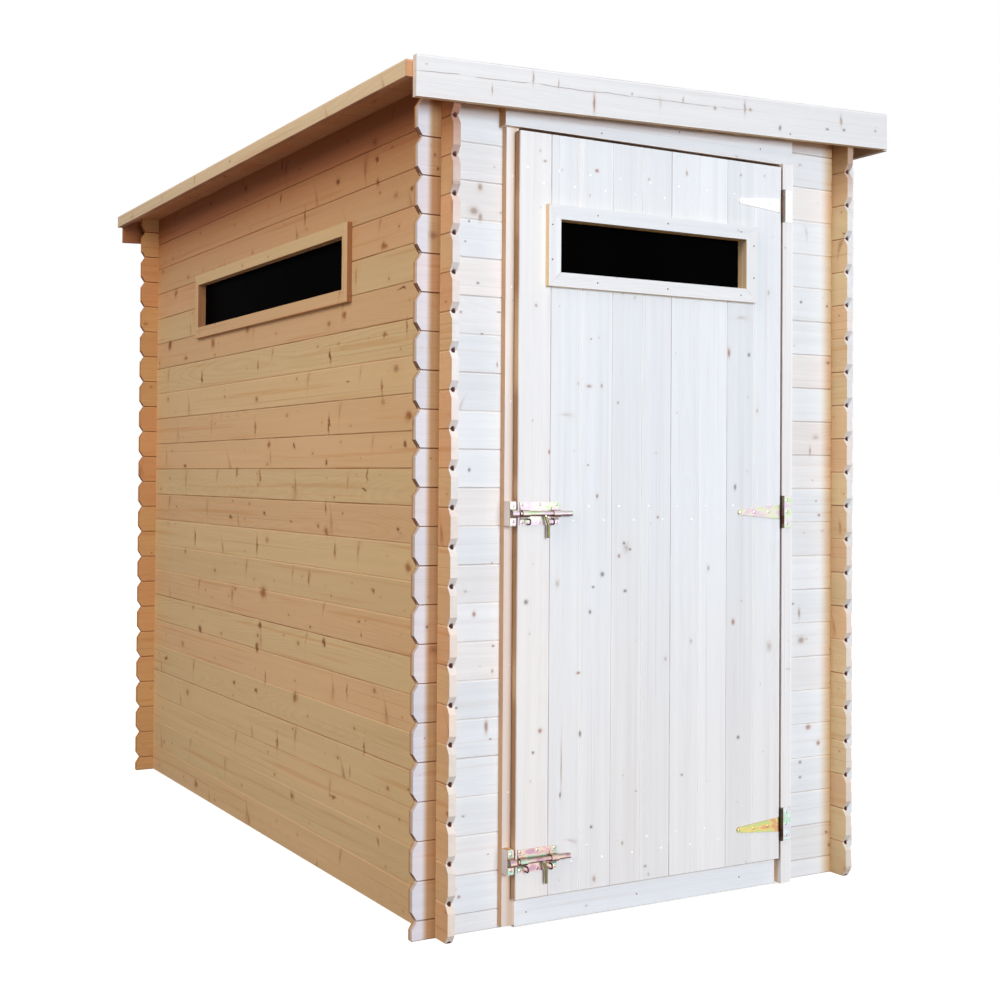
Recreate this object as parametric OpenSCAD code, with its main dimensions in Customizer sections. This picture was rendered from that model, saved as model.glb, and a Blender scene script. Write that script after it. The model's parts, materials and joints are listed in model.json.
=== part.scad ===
// Garden shed of interlocking horizontal logs, with a boarded door and a low
// single-slope roof. Sizes are in millimetres. +Z is up, the door faces -Y,
// and the origin is on the ground under the middle of the roof.
// Side-wall logs start on the ground and end-wall logs start half a log higher,
// so each log drops into notches cut in the ones it crosses.

/* [Walls] */
// Outside width across the end walls
wall_width = 1225; // [900:1:3000]
// Outside length along the side walls
wall_length = 2200; // [1200:1:5000]
// Thickness of one log
log_thickness = 19; // [14:0.5:45]
// Height that one log adds to the wall
log_pitch = 90; // [80:1:140]
// How far the log ends stand out past the corner
log_overhang = 60; // [35:1:150]
// Length of the sloping cut on a log end
end_cut_length = 13; // [4:0.5:25]
// Height of the sloping cut on a log end
end_cut_height = 20; // [6:0.5:22]
// Small bevel along each log edge
log_bevel = 2; // [0.5:0.1:4]
// Width of the tongue on top of a log
log_tongue_width = 7; // [4:0.5:10]
// Height of the tongue on top of a log
log_tongue_height = 6; // [3:0.5:10]

/* [Roof] */
// Height of the roof underside at the outer face of the low side wall
eaves_height = 1985; // [1850:1:2300]
// Rise of the roof across the wall width
roof_rise = 40; // [10:1:250]
// Roof overhang past the side walls, to the inner face of the edge boards
roof_side_overhang = 106; // [40:1:300]
// Roof overhang past the end walls, to the inner face of the fascias
roof_end_overhang = 62; // [40:1:300]
// Thickness of the roof boards
roof_board_thickness = 16; // [12:0.5:28]
// Number of roof boards
roof_board_count = 24; // [10:1:50]
// Height of the fascias and of the board on the high side
fascia_height = 95; // [60:1:200]
// Thickness of the fascias and edge boards
fascia_thickness = 17; // [12:0.5:30]
// How far the front fascia and the high edge board stand above the roof boards
fascia_upstand = 10; // [0:0.5:30]
// How far the rear fascia stands above the roof boards
rear_fascia_upstand = 2; // [0:0.5:30]
// Height of the strip along the low side
eaves_strip_height = 38; // [24:1:120]
// Width of a purlin
purlin_width = 34; // [24:1:80]
// Height of a purlin
purlin_height = 45; // [30:1:60]
// Number of purlins
purlin_count = 2; // [1:1:4]

/* [Floor] */
// Thickness of the floor boards
floor_board_thickness = 16; // [12:0.5:28]
// Height of a floor bearer
bearer_height = 44; // [30:1:80]
// Width of a floor bearer
bearer_width = 58; // [30:1:90]
// Number of floor bearers
bearer_count = 5; // [3:1:9]
// Number of floor boards
floor_board_count = 13; // [6:1:24]

/* [Doorway] */
// Distance from the left outer wall face to the left side of the doorway
doorway_from_left = 199; // [120:1:400]
// Clear width of the doorway
doorway_width = 795; // [600:1:1600]
// Width of each upright casing
casing_width = 34; // [24:1:80]
// Thickness of the casing on the latch side
casing_thickness = 19; // [12:0.5:30]
// Height of the lintel board
lintel_height = 66; // [40:1:100]
// Thickness of the lintel board
lintel_thickness = 30; // [20:1:40]
// How far the lintel runs past the casings
lintel_overrun = 9; // [0:1:40]
// How far the threshold board stands above the floor
threshold_lip = 3.7; // [0:0.1:20]
// Height that the casings end above the ground
casing_ground_gap = 7; // [0:1:30]

/* [Door] */
// Number of door boards
door_board_count = 9; // [4:1:16]
// Thickness of the door boards
door_thickness = 20; // [14:0.5:40]
// How far the door laps over the latch casing
door_lap = 12; // [4:1:24]
// Clearance round the door
door_clearance = 5; // [5:0.5:12]
// Gap between the threshold and the door's lower edge
door_sill_gap = 9; // [5:0.5:30]
// Gap between the door's upper edge and the lintel
door_head_gap = 11; // [5:0.5:30]
// Width of the ledges across the back of the door
ledge_width = 70; // [40:1:110]
// Thickness of the ledges
ledge_thickness = 16; // [10:0.5:25]
// Distance from the door's lower edge to the middle of the lower ledge
lower_ledge_rise = 89; // [60:1:200]
// Height of the middle ledge, with its hinge and bolt
middle_ledge_height = 975; // [700:1:1200]
// Distance from the door's upper edge to the middle of the upper ledge
upper_ledge_drop = 102; // [60:1:150]

/* [Windows] */
// Width of the trim round each window
trim_width = 34; // [20:1:70]
// Thickness of the trim round each window
trim_thickness = 14; // [8:0.5:30]
// Clear length of the side window
side_window_length = 1163; // [300:1:1500]
// Distance from the front wall to the side window
side_window_from_front = 525; // [300:1:900]
// Whole courses above the side window
side_window_above = 3; // [2:1:12]
// Courses that the side window cuts
side_window_courses = 2; // [1:1:4]
// Thickness of the boards that line the side window
liner_thickness = 19; // [10:0.5:25]
// Width of the boards that line the side window, through the wall
liner_depth = 34; // [20:1:80]
// Clear length of the door window
door_window_length = 566; // [200:1:600]
// Clear height of the door window
door_window_height = 127; // [80:1:400]
// How far the door window stands off the middle of the door, to the hinge side
door_window_offset = -10; // [-60:1:60]
// Distance from the door's upper edge to its window
door_window_drop = 203; // [190:1:600]
// Thickness of the panes
pane_thickness = 3; // [2:0.5:6]
// Depth of a pane from the outer face of the side wall
pane_setback = 12; // [6:0.5:14]
// How far a pane laps its frame
pane_lap = 7; // [4:0.5:10]

/* [Hinges] */
// Length of the strap from the pin
strap_length = 145; // [90:1:400]
// Width of the strap at the pin
strap_root = 38; // [24:1:60]
// Width of the strap at its tip
strap_tip = 14; // [8:1:24]
// Thickness of the hinge plates
hinge_plate = 2.5; // [1.5:0.1:5]
// Height of the leaf on the casing
leaf_height = 84; // [60:1:160]
// Width of the leaf on the casing, from the pin
leaf_width = 33; // [20:1:60]
// Radius of the knuckles
knuckle_radius = 5; // [4:0.1:9]
// Radius of the hinge pin
hinge_pin_radius = 2.4; // [1.5:0.1:4]

/* [Bolts] */
// Length of the bolt's base plate
bolt_plate_length = 108; // [70:1:200]
// Height of the bolt's base plate
bolt_plate_height = 54; // [36:1:80]
// Thickness of the bolt's plates
bolt_plate = 2; // [1.5:0.1:4]
// Distance from the door's edge to the bolt's plate
bolt_plate_inset = 5; // [2:0.5:20]
// Radius of the bolt rod
rod_radius = 6; // [4:0.1:10]
// Length of the bolt rod
rod_length = 145; // [100:1:260]
// Travel of the bolt rod
rod_travel = 30; // [20:1:60]
// Gap from the drawn rod's tip to the keeper
rod_keeper_gap = 7; // [5:0.5:20]
// Width of each keeper along the rod
keeper_width = 17; // [10:0.5:18]
// Width of each guide along the rod
guide_width = 20; // [10:1:26]
// Distance from the guides to the ends of the plate
guide_inset = 1; // [0:0.5:12]
// Length of the bolt lever below the rod
lever_length = 58; // [30:1:80]
// Radius of the bolt lever
lever_radius = 3.5; // [2:0.1:5]
// How far the lever is bent along the rod
lever_lean = 8; // [0:0.5:9]
// Radius of the padlock eyes, to the middle of the wire
staple_radius = 6; // [4:0.5:8]
// Radius of the wire of the padlock eyes
staple_wire = 2; // [1.5:0.1:2.5]

/* [Boards] */
// Length of the tongue on floor, roof and door boards
board_tongue = 5; // [3:0.5:8]
// Bevel along the face of a board
board_bevel = 1.2; // [0.5:0.1:3]

/* [Fits] */
// Gap between timber pieces that seat on each other
fit_gap = 0.3; // [0.2:0.05:0.8]
// Radial clearance of a hinge pin
pin_clearance = 0.08; // [0.02:0.01:0.1]
// Radial clearance of a rod in its guides
rod_clearance = 0.6; // [0.3:0.1:1.5]
// Clearance of the rod in its keeper
keeper_clearance = 2; // [1:0.1:4]

/* [Colours] */
// Pale timber
timber_colour = [0.80, 0.66, 0.48];
// Timber inside the shed
inner_timber_colour = [0.72, 0.58, 0.41];
// Zinc-plated steel
zinc_colour = [0.78, 0.74, 0.55];
// Dark window pane
pane_colour = [0.03, 0.03, 0.035];

/* [Hidden] */
$fn = 40;

// Wall faces
x_left = -wall_width / 2;
x_right = wall_width / 2;
y_front = -wall_length / 2;
y_rear = wall_length / 2;
half_log = log_pitch / 2;
notch_depth = log_pitch / 4;
log_courses = floor(eaves_height / log_pitch);
end_courses = log_courses - 1;

// Heights of the roof's underside and top at a place across the width
roof_slope = roof_rise / wall_width;
roof_angle = atan(roof_slope);
function roof_under(x) = eaves_height + (x - x_left) * roof_slope;
function roof_top(x) = roof_under(x) + roof_board_thickness / cos(roof_angle);
x_roof_left = x_left - roof_side_overhang;
x_roof_right = x_right + roof_side_overhang;
y_roof_front = y_front - roof_end_overhang;
y_roof_rear = y_rear + roof_end_overhang;

// Doorway and door; the doorway ends half way up the log over it
x_door_left = x_left + doorway_from_left;
x_door_right = x_door_left + doorway_width;
doorway_top = end_courses * log_pitch;
floor_low = bearer_height + fit_gap;
threshold_top = floor_low + floor_board_thickness + threshold_lip;
door_bottom = threshold_top + door_sill_gap;
door_back = y_front - casing_thickness - door_clearance;
door_front = door_back - door_thickness;
door_x0 = x_door_left - door_lap;
door_x1 = x_door_right - door_clearance - 1;
door_top = doorway_top - door_head_gap;
ledge_heights = [door_bottom + lower_ledge_rise, middle_ledge_height, door_top - upper_ledge_drop];
bolt_heights = [ledge_heights[0], ledge_heights[1]];
board_cover = (door_x1 - door_x0) / door_board_count;
door_window_mid = (door_x0 + door_x1) / 2 + door_window_offset;
door_window_x0 = door_window_mid - door_window_length / 2;
door_window_x1 = door_window_mid + door_window_length / 2;
door_window_bottom = door_top - door_window_drop - door_window_height;

// Side window
side_window_course = log_courses - side_window_above - side_window_courses;
window_low = side_window_course * log_pitch;
window_high = window_low + side_window_courses * log_pitch;
window_clear_low = window_low + liner_thickness + fit_gap;
window_clear_high = window_high - liner_thickness - fit_gap;
window_y0 = y_front + side_window_from_front;
window_y1 = window_y0 + side_window_length;
rough_y0 = window_y0 - liner_thickness - fit_gap;
rough_y1 = window_y1 + liner_thickness + fit_gap;

// Hinge axis
hinge_x = (door_x1 + x_door_right) / 2;
plate_back = door_front - fit_gap;
hinge_y = plate_back - knuckle_radius - fit_gap;
knuckle_gap = 0.4;
middle_knuckle = strap_root;
end_knuckle = (leaf_height - middle_knuckle) / 2 - knuckle_gap;

// Bolts
keeper_x1 = door_x0 - door_clearance - 0.5;
keeper_x0 = keeper_x1 - keeper_width;
rod_tip = keeper_x1 + rod_keeper_gap;
rod_y = plate_back - bolt_plate - rod_radius - rod_clearance;
keeper_eye_radius = rod_radius + keeper_clearance;
keeper_back = rod_y + keeper_eye_radius;
bolt_plate_x0 = door_x0 + bolt_plate_inset;
guide_x0 = bolt_plate_x0 + guide_inset;
guide_x1 = bolt_plate_x0 + bolt_plate_length - guide_inset - guide_width;
guide_gap_mid = (guide_x0 + guide_width + guide_x1) / 2;
lever_x = guide_gap_mid + (rod_travel - lever_lean) / 2;
eye_radius = rod_radius + rod_clearance;
rod_point = 2;
staple_low = staple_radius + staple_wire;
staple_stand = 8;
lever_stand = bolt_plate + 5 + lever_radius - eye_radius;

// One log's section: u is through the wall and v is up, with groove and tongue
function log_section(h, groove, tongue) = let (
        m = log_thickness / 2,
        tw = log_tongue_width / 2,
        th = log_tongue_height,
        b = log_bevel,
        gw = tw + fit_gap,
        gd = th + fit_gap)
    concat(
        [[b, 0]],
        groove ? [[m - gw, 0], [m - gw, gd], [m + gw, gd], [m + gw, 0]] : [],
        [[log_thickness - b, 0], [log_thickness, b],
            [log_thickness, h - b], [log_thickness - b, h]],
        tongue ? [[m + tw, h], [m + tw, h + th], [m - tw, h + th], [m - tw, h]] : [],
        [[b, h], [0, h - b], [0, b]]);

// One log's elevation from a to b: notches are [from, to] along the log, with
// their own depths below and above, and shaped ends have sloping cuts, of which
// the lower ones can be left out
function log_elevation(a, b, h, notches, low, high, cut_a, cut_b, low_cuts = true) = let (
        t = log_tongue_height,
        n = len(notches),
        cl = end_cut_length,
        ch = end_cut_height)
    concat(
        cut_a && low_cuts ? [[a, ch], [a + cl, 0]] : [[a, 0]],
        [for (i = [0 : 1 : n - 1]) each low[i] > 0
            ? [[notches[i][0], 0], [notches[i][0], low[i]],
                [notches[i][1], low[i]], [notches[i][1], 0]] : []],
        cut_b && low_cuts ? [[b - cl, 0], [b, ch]] : [[b, 0]],
        cut_b ? [[b, h - ch], [b - cl, h], [b - cl, h + t]] : [[b, h + t]],
        [for (i = [n - 1 : -1 : 0]) each high[i] > 0
            ? [[notches[i][1], h + t], [notches[i][1], h - high[i]],
                [notches[i][0], h - high[i]], [notches[i][0], h + t]] : []],
        cut_a ? [[a + cl, h + t], [a + cl, h], [a, h - ch]] : [[a, h + t]]);

// A log along X with its outer face at y, from height z to z + h
module log_along_x(a, b, y, z, h, notches = [], low = [], high = [],
        cut_a = true, cut_b = true, groove = true, tongue = true, low_cuts = true) {
    translate([0, y, z])
        intersection() {
            translate([a, 0, 0])
                rotate([90, 0, 90])
                    linear_extrude(height = b - a)
                        polygon(log_section(h, groove, tongue));
            translate([0, log_thickness + 1, 0])
                rotate([90, 0, 0])
                    linear_extrude(height = log_thickness + 2)
                        polygon(log_elevation(a, b, h, notches, low, high, cut_a, cut_b,
                            low_cuts));
        }
}

// A log along Y with its outer face at x
module log_along_y(x, a, b, z, h, notches = [], low = [], high = [],
        cut_a = true, cut_b = true, groove = true, tongue = true) {
    translate([x, 0, z])
        intersection() {
            translate([0, b, 0])
                rotate([90, 0, 0])
                    linear_extrude(height = b - a)
                        polygon(log_section(h, groove, tongue));
            translate([-1, 0, 0])
                rotate([90, 0, 90])
                    linear_extrude(height = log_thickness + 2)
                        polygon(log_elevation(a, b, h, notches, low, high, cut_a, cut_b));
        }
}

// Notches where the walls cross
x_notches = [
    [x_left - fit_gap, x_left + log_thickness + fit_gap],
    [x_right - log_thickness - fit_gap, x_right + fit_gap]];
y_notches = [
    [y_front - fit_gap, y_front + log_thickness + fit_gap],
    [y_rear - log_thickness - fit_gap, y_rear + fit_gap]];
cut = notch_depth;
log_h = log_pitch - fit_gap;

// Side-wall courses from one to another, optionally stopped at a and b
module side_courses(x, first, last, a, b) {
    whole_a = a < y_front;
    whole_b = b > y_rear;
    for (k = [first : last])
        log_along_y(x, a, b, k * log_pitch + (k == 0 ? 0 : fit_gap),
            log_pitch - (k == 0 ? 0 : fit_gap),
            concat(whole_a ? [y_notches[0]] : [], whole_b ? [y_notches[1]] : []),
            concat(whole_a ? [cut] : [], whole_b ? [cut] : []),
            concat(whole_a ? [cut] : [], whole_b ? [cut] : []),
            whole_a, whole_b, groove = k > 0, tongue = true);
}

// End-wall courses, which start half a log higher
module end_courses_of(y, first, last, a, b) {
    whole_a = a < x_left;
    whole_b = b > x_right;
    for (k = [first : last])
        log_along_x(a, b, y, half_log + k * log_pitch + fit_gap, log_h,
            concat(whole_a ? [x_notches[0]] : [], whole_b ? [x_notches[1]] : []),
            concat(whole_a ? [cut] : [], whole_b ? [cut] : []),
            concat(whole_a ? [cut] : [], whole_b ? [cut] : []),
            whole_a, whole_b);
}

side_a = y_front - log_overhang;
side_b = y_rear + log_overhang;
end_a = x_left - log_overhang;
end_b = x_right + log_overhang;

// Space below the roof boards
module under_roof() {
    reach = wall_width;
    translate([0, wall_length, 0])
        rotate([90, 0, 0])
            linear_extrude(height = 2 * wall_length)
                polygon([[-reach, -1], [reach, -1],
                    [reach, roof_under(reach) - fit_gap],
                    [-reach, roof_under(-reach) - fit_gap]]);
}

// The tongue is planed off where the window's lining stands on the logs
module left_wall_lower() {
    color(timber_colour)
        difference() {
            side_courses(x_left, 0, side_window_course - 1, side_a, side_b);
            translate([x_left - 1, rough_y0, window_low])
                cube([log_thickness + 2, rough_y1 - rough_y0, log_pitch]);
        }
}

module left_wall_before_window() {
    color(timber_colour)
        side_courses(x_left, side_window_course,
            side_window_course + side_window_courses - 1, side_a, rough_y0);
}

module left_wall_behind_window() {
    color(timber_colour)
        side_courses(x_left, side_window_course,
            side_window_course + side_window_courses - 1, rough_y1, side_b);
}

// The top course reaches up to the roof
module left_wall_upper() {
    top_z = (log_courses - 1) * log_pitch + fit_gap;
    color(timber_colour) {
        side_courses(x_left, side_window_course + side_window_courses,
            log_courses - 2, side_a, side_b);
        intersection() {
            log_along_y(x_left, side_a, side_b, top_z, eaves_height - top_z + 2,
                y_notches, [cut, cut],
                [eaves_height - top_z + 2 - 3 * cut + fit_gap,
                    eaves_height - top_z + 2 - 3 * cut + fit_gap],
                tongue = false);
            under_roof();
        }
    }
}

module right_wall() {
    color(timber_colour)
        side_courses(x_right - log_thickness, 0, log_courses - 1, side_a, side_b);
}

module right_wall_top_rail() {
    z = log_courses * log_pitch + fit_gap;
    color(timber_colour)
        intersection() {
            log_along_y(x_right - log_thickness, side_a, side_b, z,
                roof_under(x_right) - z + 4, y_notches, [cut, cut], [0, 0],
                tongue = false);
            under_roof();
        }
}

// Bottom half log of an end wall, with its lower half left off
module half_log_of(y) {
    log_along_x(end_a, end_b, y, 0, half_log, x_notches, [0, 0],
        [cut + fit_gap, cut + fit_gap], groove = false, low_cuts = false);
}

// Top log of an end wall, tapered to the roof and cut out for the purlins
module top_log_of(y) {
    z = half_log + end_courses * log_pitch + fit_gap;
    h = roof_under(x_right) - z + 8;
    color(timber_colour)
        difference() {
            intersection() {
                log_along_x(end_a, end_b, y, z, h, x_notches, [cut, cut],
                    [0, h - 3 * cut + fit_gap], tongue = false);
                under_roof();
            }
            for (i = [1 : purlin_count])
                purlin_at(i, fit_gap);
        }
}

module rear_wall() {
    color(timber_colour) {
        half_log_of(y_rear - log_thickness);
        end_courses_of(y_rear - log_thickness, 0, end_courses - 1, end_a, end_b);
    }
}

module rear_wall_top_log() {
    top_log_of(y_rear - log_thickness);
}

// The sill's tongue is planed off across the doorway
module front_sill_log() {
    color(timber_colour)
        difference() {
            half_log_of(y_front);
            translate([x_door_left, y_front - 1, half_log])
                cube([doorway_width, log_thickness + 2, log_pitch]);
        }
}

module front_wall_left() {
    color(timber_colour)
        end_courses_of(y_front, 0, end_courses - 2, end_a, x_door_left);
}

module front_wall_right() {
    color(timber_colour)
        end_courses_of(y_front, 0, end_courses - 2, x_door_right, end_b);
}

// The log over the doorway is cut out for the head of the door
module front_wall_head_log() {
    color(timber_colour)
        difference() {
            end_courses_of(y_front, end_courses - 1, end_courses - 1, end_a, end_b);
            translate([x_door_left, y_front - 1, 0])
                cube([doorway_width, log_thickness + 2, doorway_top]);
        }
}

module front_wall_top_log() {
    top_log_of(y_front);
}

// Section of a tongued board: u is across the board and v is through it
function board_section(w, t, groove, tongue) = let (
        q = t / 3,
        l = board_tongue,
        e = board_bevel,
        g = fit_gap)
    concat(
        [[g / 2, e], [e + g / 2, 0], [w - e - g / 2, 0], [w - g / 2, e]],
        tongue ? [[w - g / 2, q + g], [w + l - 1, q + g], [w + l - 1, 2 * q - g],
            [w - g / 2, 2 * q - g]] : [],
        [[w - g / 2, t], [g / 2, t]],
        groove ? [[g / 2, 2 * q], [l, 2 * q], [l, q], [g / 2, q]] : []);

// Boards run down the slope, with their bevelled faces down
module roof_boards() {
    cover = (y_roof_rear - y_roof_front) / roof_board_count;
    x0 = x_roof_left + fit_gap + roof_board_thickness * sin(roof_angle);
    span = (x_roof_right - fit_gap - x0) / cos(roof_angle);
    color(inner_timber_colour)
        for (i = [0 : roof_board_count - 1])
            translate([x0, y_roof_front + i * cover, roof_under(x0)])
                rotate([0, -roof_angle, 0])
                    rotate([90, 0, 90])
                        linear_extrude(height = span)
                            polygon(board_section(cover, roof_board_thickness,
                                i > 0, i < roof_board_count - 1));
}

module purlin_at(i, gap) {
    x = x_left + i * wall_width / (purlin_count + 1);
    low = roof_under(x - purlin_width / 2) - purlin_height;
    high = gap > 0 ? purlin_height + 40 : purlin_height - fit_gap;
    translate([x - purlin_width / 2 - gap, y_front - (gap > 0 ? 1 : 0), low - gap])
        cube([purlin_width + 2 * gap, wall_length + (gap > 0 ? 2 : 0), high]);
}

module roof_purlins() {
    color(inner_timber_colour)
        for (i = [1 : purlin_count])
            purlin_at(i, 0);
}

// A fascia follows the roof and has upright end cuts
module fascia_at(y, upstand) {
    color(timber_colour)
        translate([0, y + fascia_thickness, 0])
            rotate([90, 0, 0])
                linear_extrude(height = fascia_thickness)
                    polygon([
                        [x_roof_left, roof_top(x_roof_left) + upstand - fascia_height],
                        [x_roof_right, roof_top(x_roof_right) + upstand - fascia_height],
                        [x_roof_right, roof_top(x_roof_right) + upstand],
                        [x_roof_left, roof_top(x_roof_left) + upstand]]);
}

module front_fascia() {
    fascia_at(y_roof_front - fascia_thickness - fit_gap, fascia_upstand);
}

module rear_fascia() {
    fascia_at(y_roof_rear + fit_gap, rear_fascia_upstand);
}

// The strip along the eaves runs on over the rear fascia's end
module eaves_strip() {
    color(timber_colour)
        translate([x_roof_left - fascia_thickness, y_roof_front,
                roof_top(x_roof_left) - eaves_strip_height])
            cube([fascia_thickness, y_roof_rear + fit_gap + fascia_thickness - y_roof_front,
                eaves_strip_height]);
}

module verge_board() {
    color(timber_colour)
        translate([x_roof_right, y_roof_front,
                roof_top(x_roof_right) + fascia_upstand - fascia_height])
            cube([fascia_thickness, y_roof_rear - y_roof_front, fascia_height]);
}

// Floor
floor_x0 = x_left + log_thickness + fit_gap;
floor_x1 = x_right - log_thickness - fit_gap;
floor_y0 = y_front + log_thickness + fit_gap;
floor_y1 = y_rear - log_thickness - fit_gap;

module floor_boards() {
    cover = (floor_x1 - floor_x0) / floor_board_count;
    color(inner_timber_colour)
        for (i = [0 : floor_board_count - 1])
            translate([floor_x0 + (i + 1) * cover, floor_y0,
                    floor_low + floor_board_thickness])
                rotate([0, 180, 0])
                    translate([0, floor_y1 - floor_y0, 0])
                        rotate([90, 0, 0])
                            linear_extrude(height = floor_y1 - floor_y0)
                                polygon(board_section(cover, floor_board_thickness,
                                    i < floor_board_count - 1, i > 0));
}

module floor_bearers() {
    step = (floor_y1 - floor_y0 - bearer_width) / (bearer_count - 1);
    color(inner_timber_colour)
        for (i = [0 : bearer_count - 1])
            translate([floor_x0, floor_y0 + i * step, 0])
                cube([floor_x1 - floor_x0, bearer_width, bearer_height]);
}

// Door surround
module threshold_board() {
    color(timber_colour)
        translate([x_door_left + fit_gap, y_front - casing_thickness, casing_ground_gap - 5])
            cube([doorway_width - 2 * fit_gap, casing_thickness - fit_gap,
                threshold_top - casing_ground_gap + 5]);
}

module door_lintel() {
    x0 = x_door_left - casing_width - lintel_overrun;
    x1 = x_door_right + casing_width + lintel_overrun;
    color(timber_colour)
        translate([x0, y_front - lintel_thickness, doorway_top])
            cube([x1 - x0, lintel_thickness - fit_gap, lintel_height]);
}

module latch_casing() {
    color(timber_colour)
        translate([x_door_left - casing_width, y_front - casing_thickness, casing_ground_gap])
            cube([casing_width, casing_thickness - fit_gap,
                doorway_top - casing_ground_gap - fit_gap]);
}

// The casing on the hinge side is packed out flush with the door's face
module hinge_casing() {
    color(timber_colour)
        translate([x_door_right, door_front, casing_ground_gap])
            cube([casing_width, y_front - door_front - fit_gap,
                doorway_top - casing_ground_gap - fit_gap]);
}

// Side window
module mitred_trim(length, height, width, thickness) {
    for (s = [0, 1]) {
        translate([0, s * height, 0])
            mirror([0, s, 0])
                linear_extrude(height = thickness)
                    polygon([[0, 0], [length, 0],
                        [length + width - fit_gap, -width], [fit_gap - width, -width]]);
        translate([s * length, 0, 0])
            mirror([s, 0, 0])
                linear_extrude(height = thickness)
                    polygon([[0, 0], [0, height],
                        [-width, height + width - fit_gap], [-width, fit_gap - width]]);
    }
}

module side_window_trim() {
    color(timber_colour)
        translate([x_left - fit_gap, window_y1, window_clear_low])
            rotate([90, 0, -90])
                mitred_trim(side_window_length, window_clear_high - window_clear_low,
                    trim_width, trim_thickness);
}

module side_window_liner() {
    clear = window_clear_high - window_clear_low;
    color(inner_timber_colour)
        difference() {
            union() {
                for (z = [window_low + fit_gap, window_clear_high])
                    translate([x_left, rough_y0 + fit_gap, z])
                        cube([liner_depth, rough_y1 - rough_y0 - 2 * fit_gap,
                            liner_thickness - (z > window_clear_low ? fit_gap : 0)]);
                for (y = [rough_y0 + fit_gap, window_y1])
                    translate([x_left, y, window_clear_low + fit_gap])
                        cube([liner_depth, liner_thickness, clear - 2 * fit_gap]);
            }
            side_pane(fit_gap);
        }
}

module side_pane(gap) {
    translate([x_left + pane_setback - gap, window_y0 - pane_lap - gap,
            window_clear_low - pane_lap - gap])
        cube([pane_thickness + 2 * gap, side_window_length + 2 * pane_lap + 2 * gap,
            window_clear_high - window_clear_low + 2 * pane_lap + 2 * gap]);
}

module side_window_pane() {
    color(pane_colour)
        side_pane(0);
}

// Door leaf: tongued boards with the window cut through them
module door_boards() {
    color(timber_colour)
        difference() {
            for (i = [0 : door_board_count - 1])
                translate([door_x0 + i * board_cover, door_front, door_bottom])
                    linear_extrude(height = door_top - door_bottom)
                        polygon(board_section(board_cover, door_thickness,
                            i > 0, i < door_board_count - 1));
            translate([door_window_x0, door_front - 1, door_window_bottom])
                cube([door_window_length, door_thickness + 2, door_window_height]);
        }
}

module door_ledges() {
    x0 = x_door_left + door_clearance + 1;
    x1 = door_x1 - 6;
    color(inner_timber_colour)
        for (z = ledge_heights)
            translate([x0, door_back + fit_gap, z - ledge_width / 2])
                cube([x1 - x0, ledge_thickness, ledge_width]);
}

module door_window_trim() {
    color(timber_colour)
        translate([door_window_x0, door_front - fit_gap, door_window_bottom])
            rotate([90, 0, 0])
                mitred_trim(door_window_length, door_window_height,
                    trim_width, trim_thickness);
}

module door_window_pane() {
    color(pane_colour)
        translate([door_window_x0 - pane_lap, door_back + fit_gap,
                door_window_bottom - pane_lap])
            cube([door_window_length + 2 * pane_lap, pane_thickness,
                door_window_height + 2 * pane_lap]);
}

module door_window_inner_trim() {
    color(inner_timber_colour)
        difference() {
            translate([door_window_x0, door_back + fit_gap + ledge_thickness,
                    door_window_bottom])
                rotate([90, 0, 0])
                    mitred_trim(door_window_length, door_window_height,
                        trim_width, ledge_thickness);
            translate([door_window_x0 - pane_lap - fit_gap, door_back,
                    door_window_bottom - pane_lap - fit_gap])
                cube([door_window_length + 2 * pane_lap + 2 * fit_gap,
                    pane_thickness + 2 * fit_gap,
                    door_window_height + 2 * pane_lap + 2 * fit_gap]);
        }
}

// Tee hinges: a leaf with two knuckles and the pin, and a strap with one knuckle
module knuckle(z0, z1, bore) {
    translate([hinge_x, hinge_y, z0])
        difference() {
            cylinder(r = knuckle_radius, h = z1 - z0);
            if (bore)
                translate([0, 0, -1])
                    cylinder(r = hinge_pin_radius + pin_clearance, h = z1 - z0 + 2);
        }
}

module hinge_leaves() {
    half = leaf_height / 2;
    reach = knuckle_radius + 0.8;
    color(zinc_colour)
        for (z = ledge_heights)
            translate([0, 0, z]) {
                difference() {
                    translate([hinge_x, plate_back - hinge_plate, -half])
                        cube([leaf_width, hinge_plate, leaf_height]);
                    translate([hinge_x - 1, plate_back - hinge_plate - 1,
                            -middle_knuckle / 2 - knuckle_gap])
                        cube([reach + 1, hinge_plate + 2, middle_knuckle + 2 * knuckle_gap]);
                }
                knuckle(half - end_knuckle, half, false);
                knuckle(-half, end_knuckle - half, false);
                translate([hinge_x, hinge_y, -half])
                    cylinder(r = hinge_pin_radius, h = leaf_height);
            }
}

module hinge_straps() {
    half = middle_knuckle / 2;
    color(zinc_colour)
        for (z = ledge_heights)
            translate([0, 0, z])
                difference() {
                    union() {
                        knuckle(-half, half, false);
                        translate([hinge_x, plate_back, 0])
                            rotate([90, 0, 0])
                                linear_extrude(height = hinge_plate) {
                                    polygon([[0, -half], [0, half],
                                        [-strap_length + strap_tip / 2, strap_tip / 2],
                                        [-strap_length + strap_tip / 2, -strap_tip / 2]]);
                                    translate([-strap_length + strap_tip / 2, 0])
                                        circle(d = strap_tip);
                                }
                    }
                    translate([hinge_x, hinge_y, -half - 1])
                        cylinder(r = hinge_pin_radius + pin_clearance, h = middle_knuckle + 2);
                }
}

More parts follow.
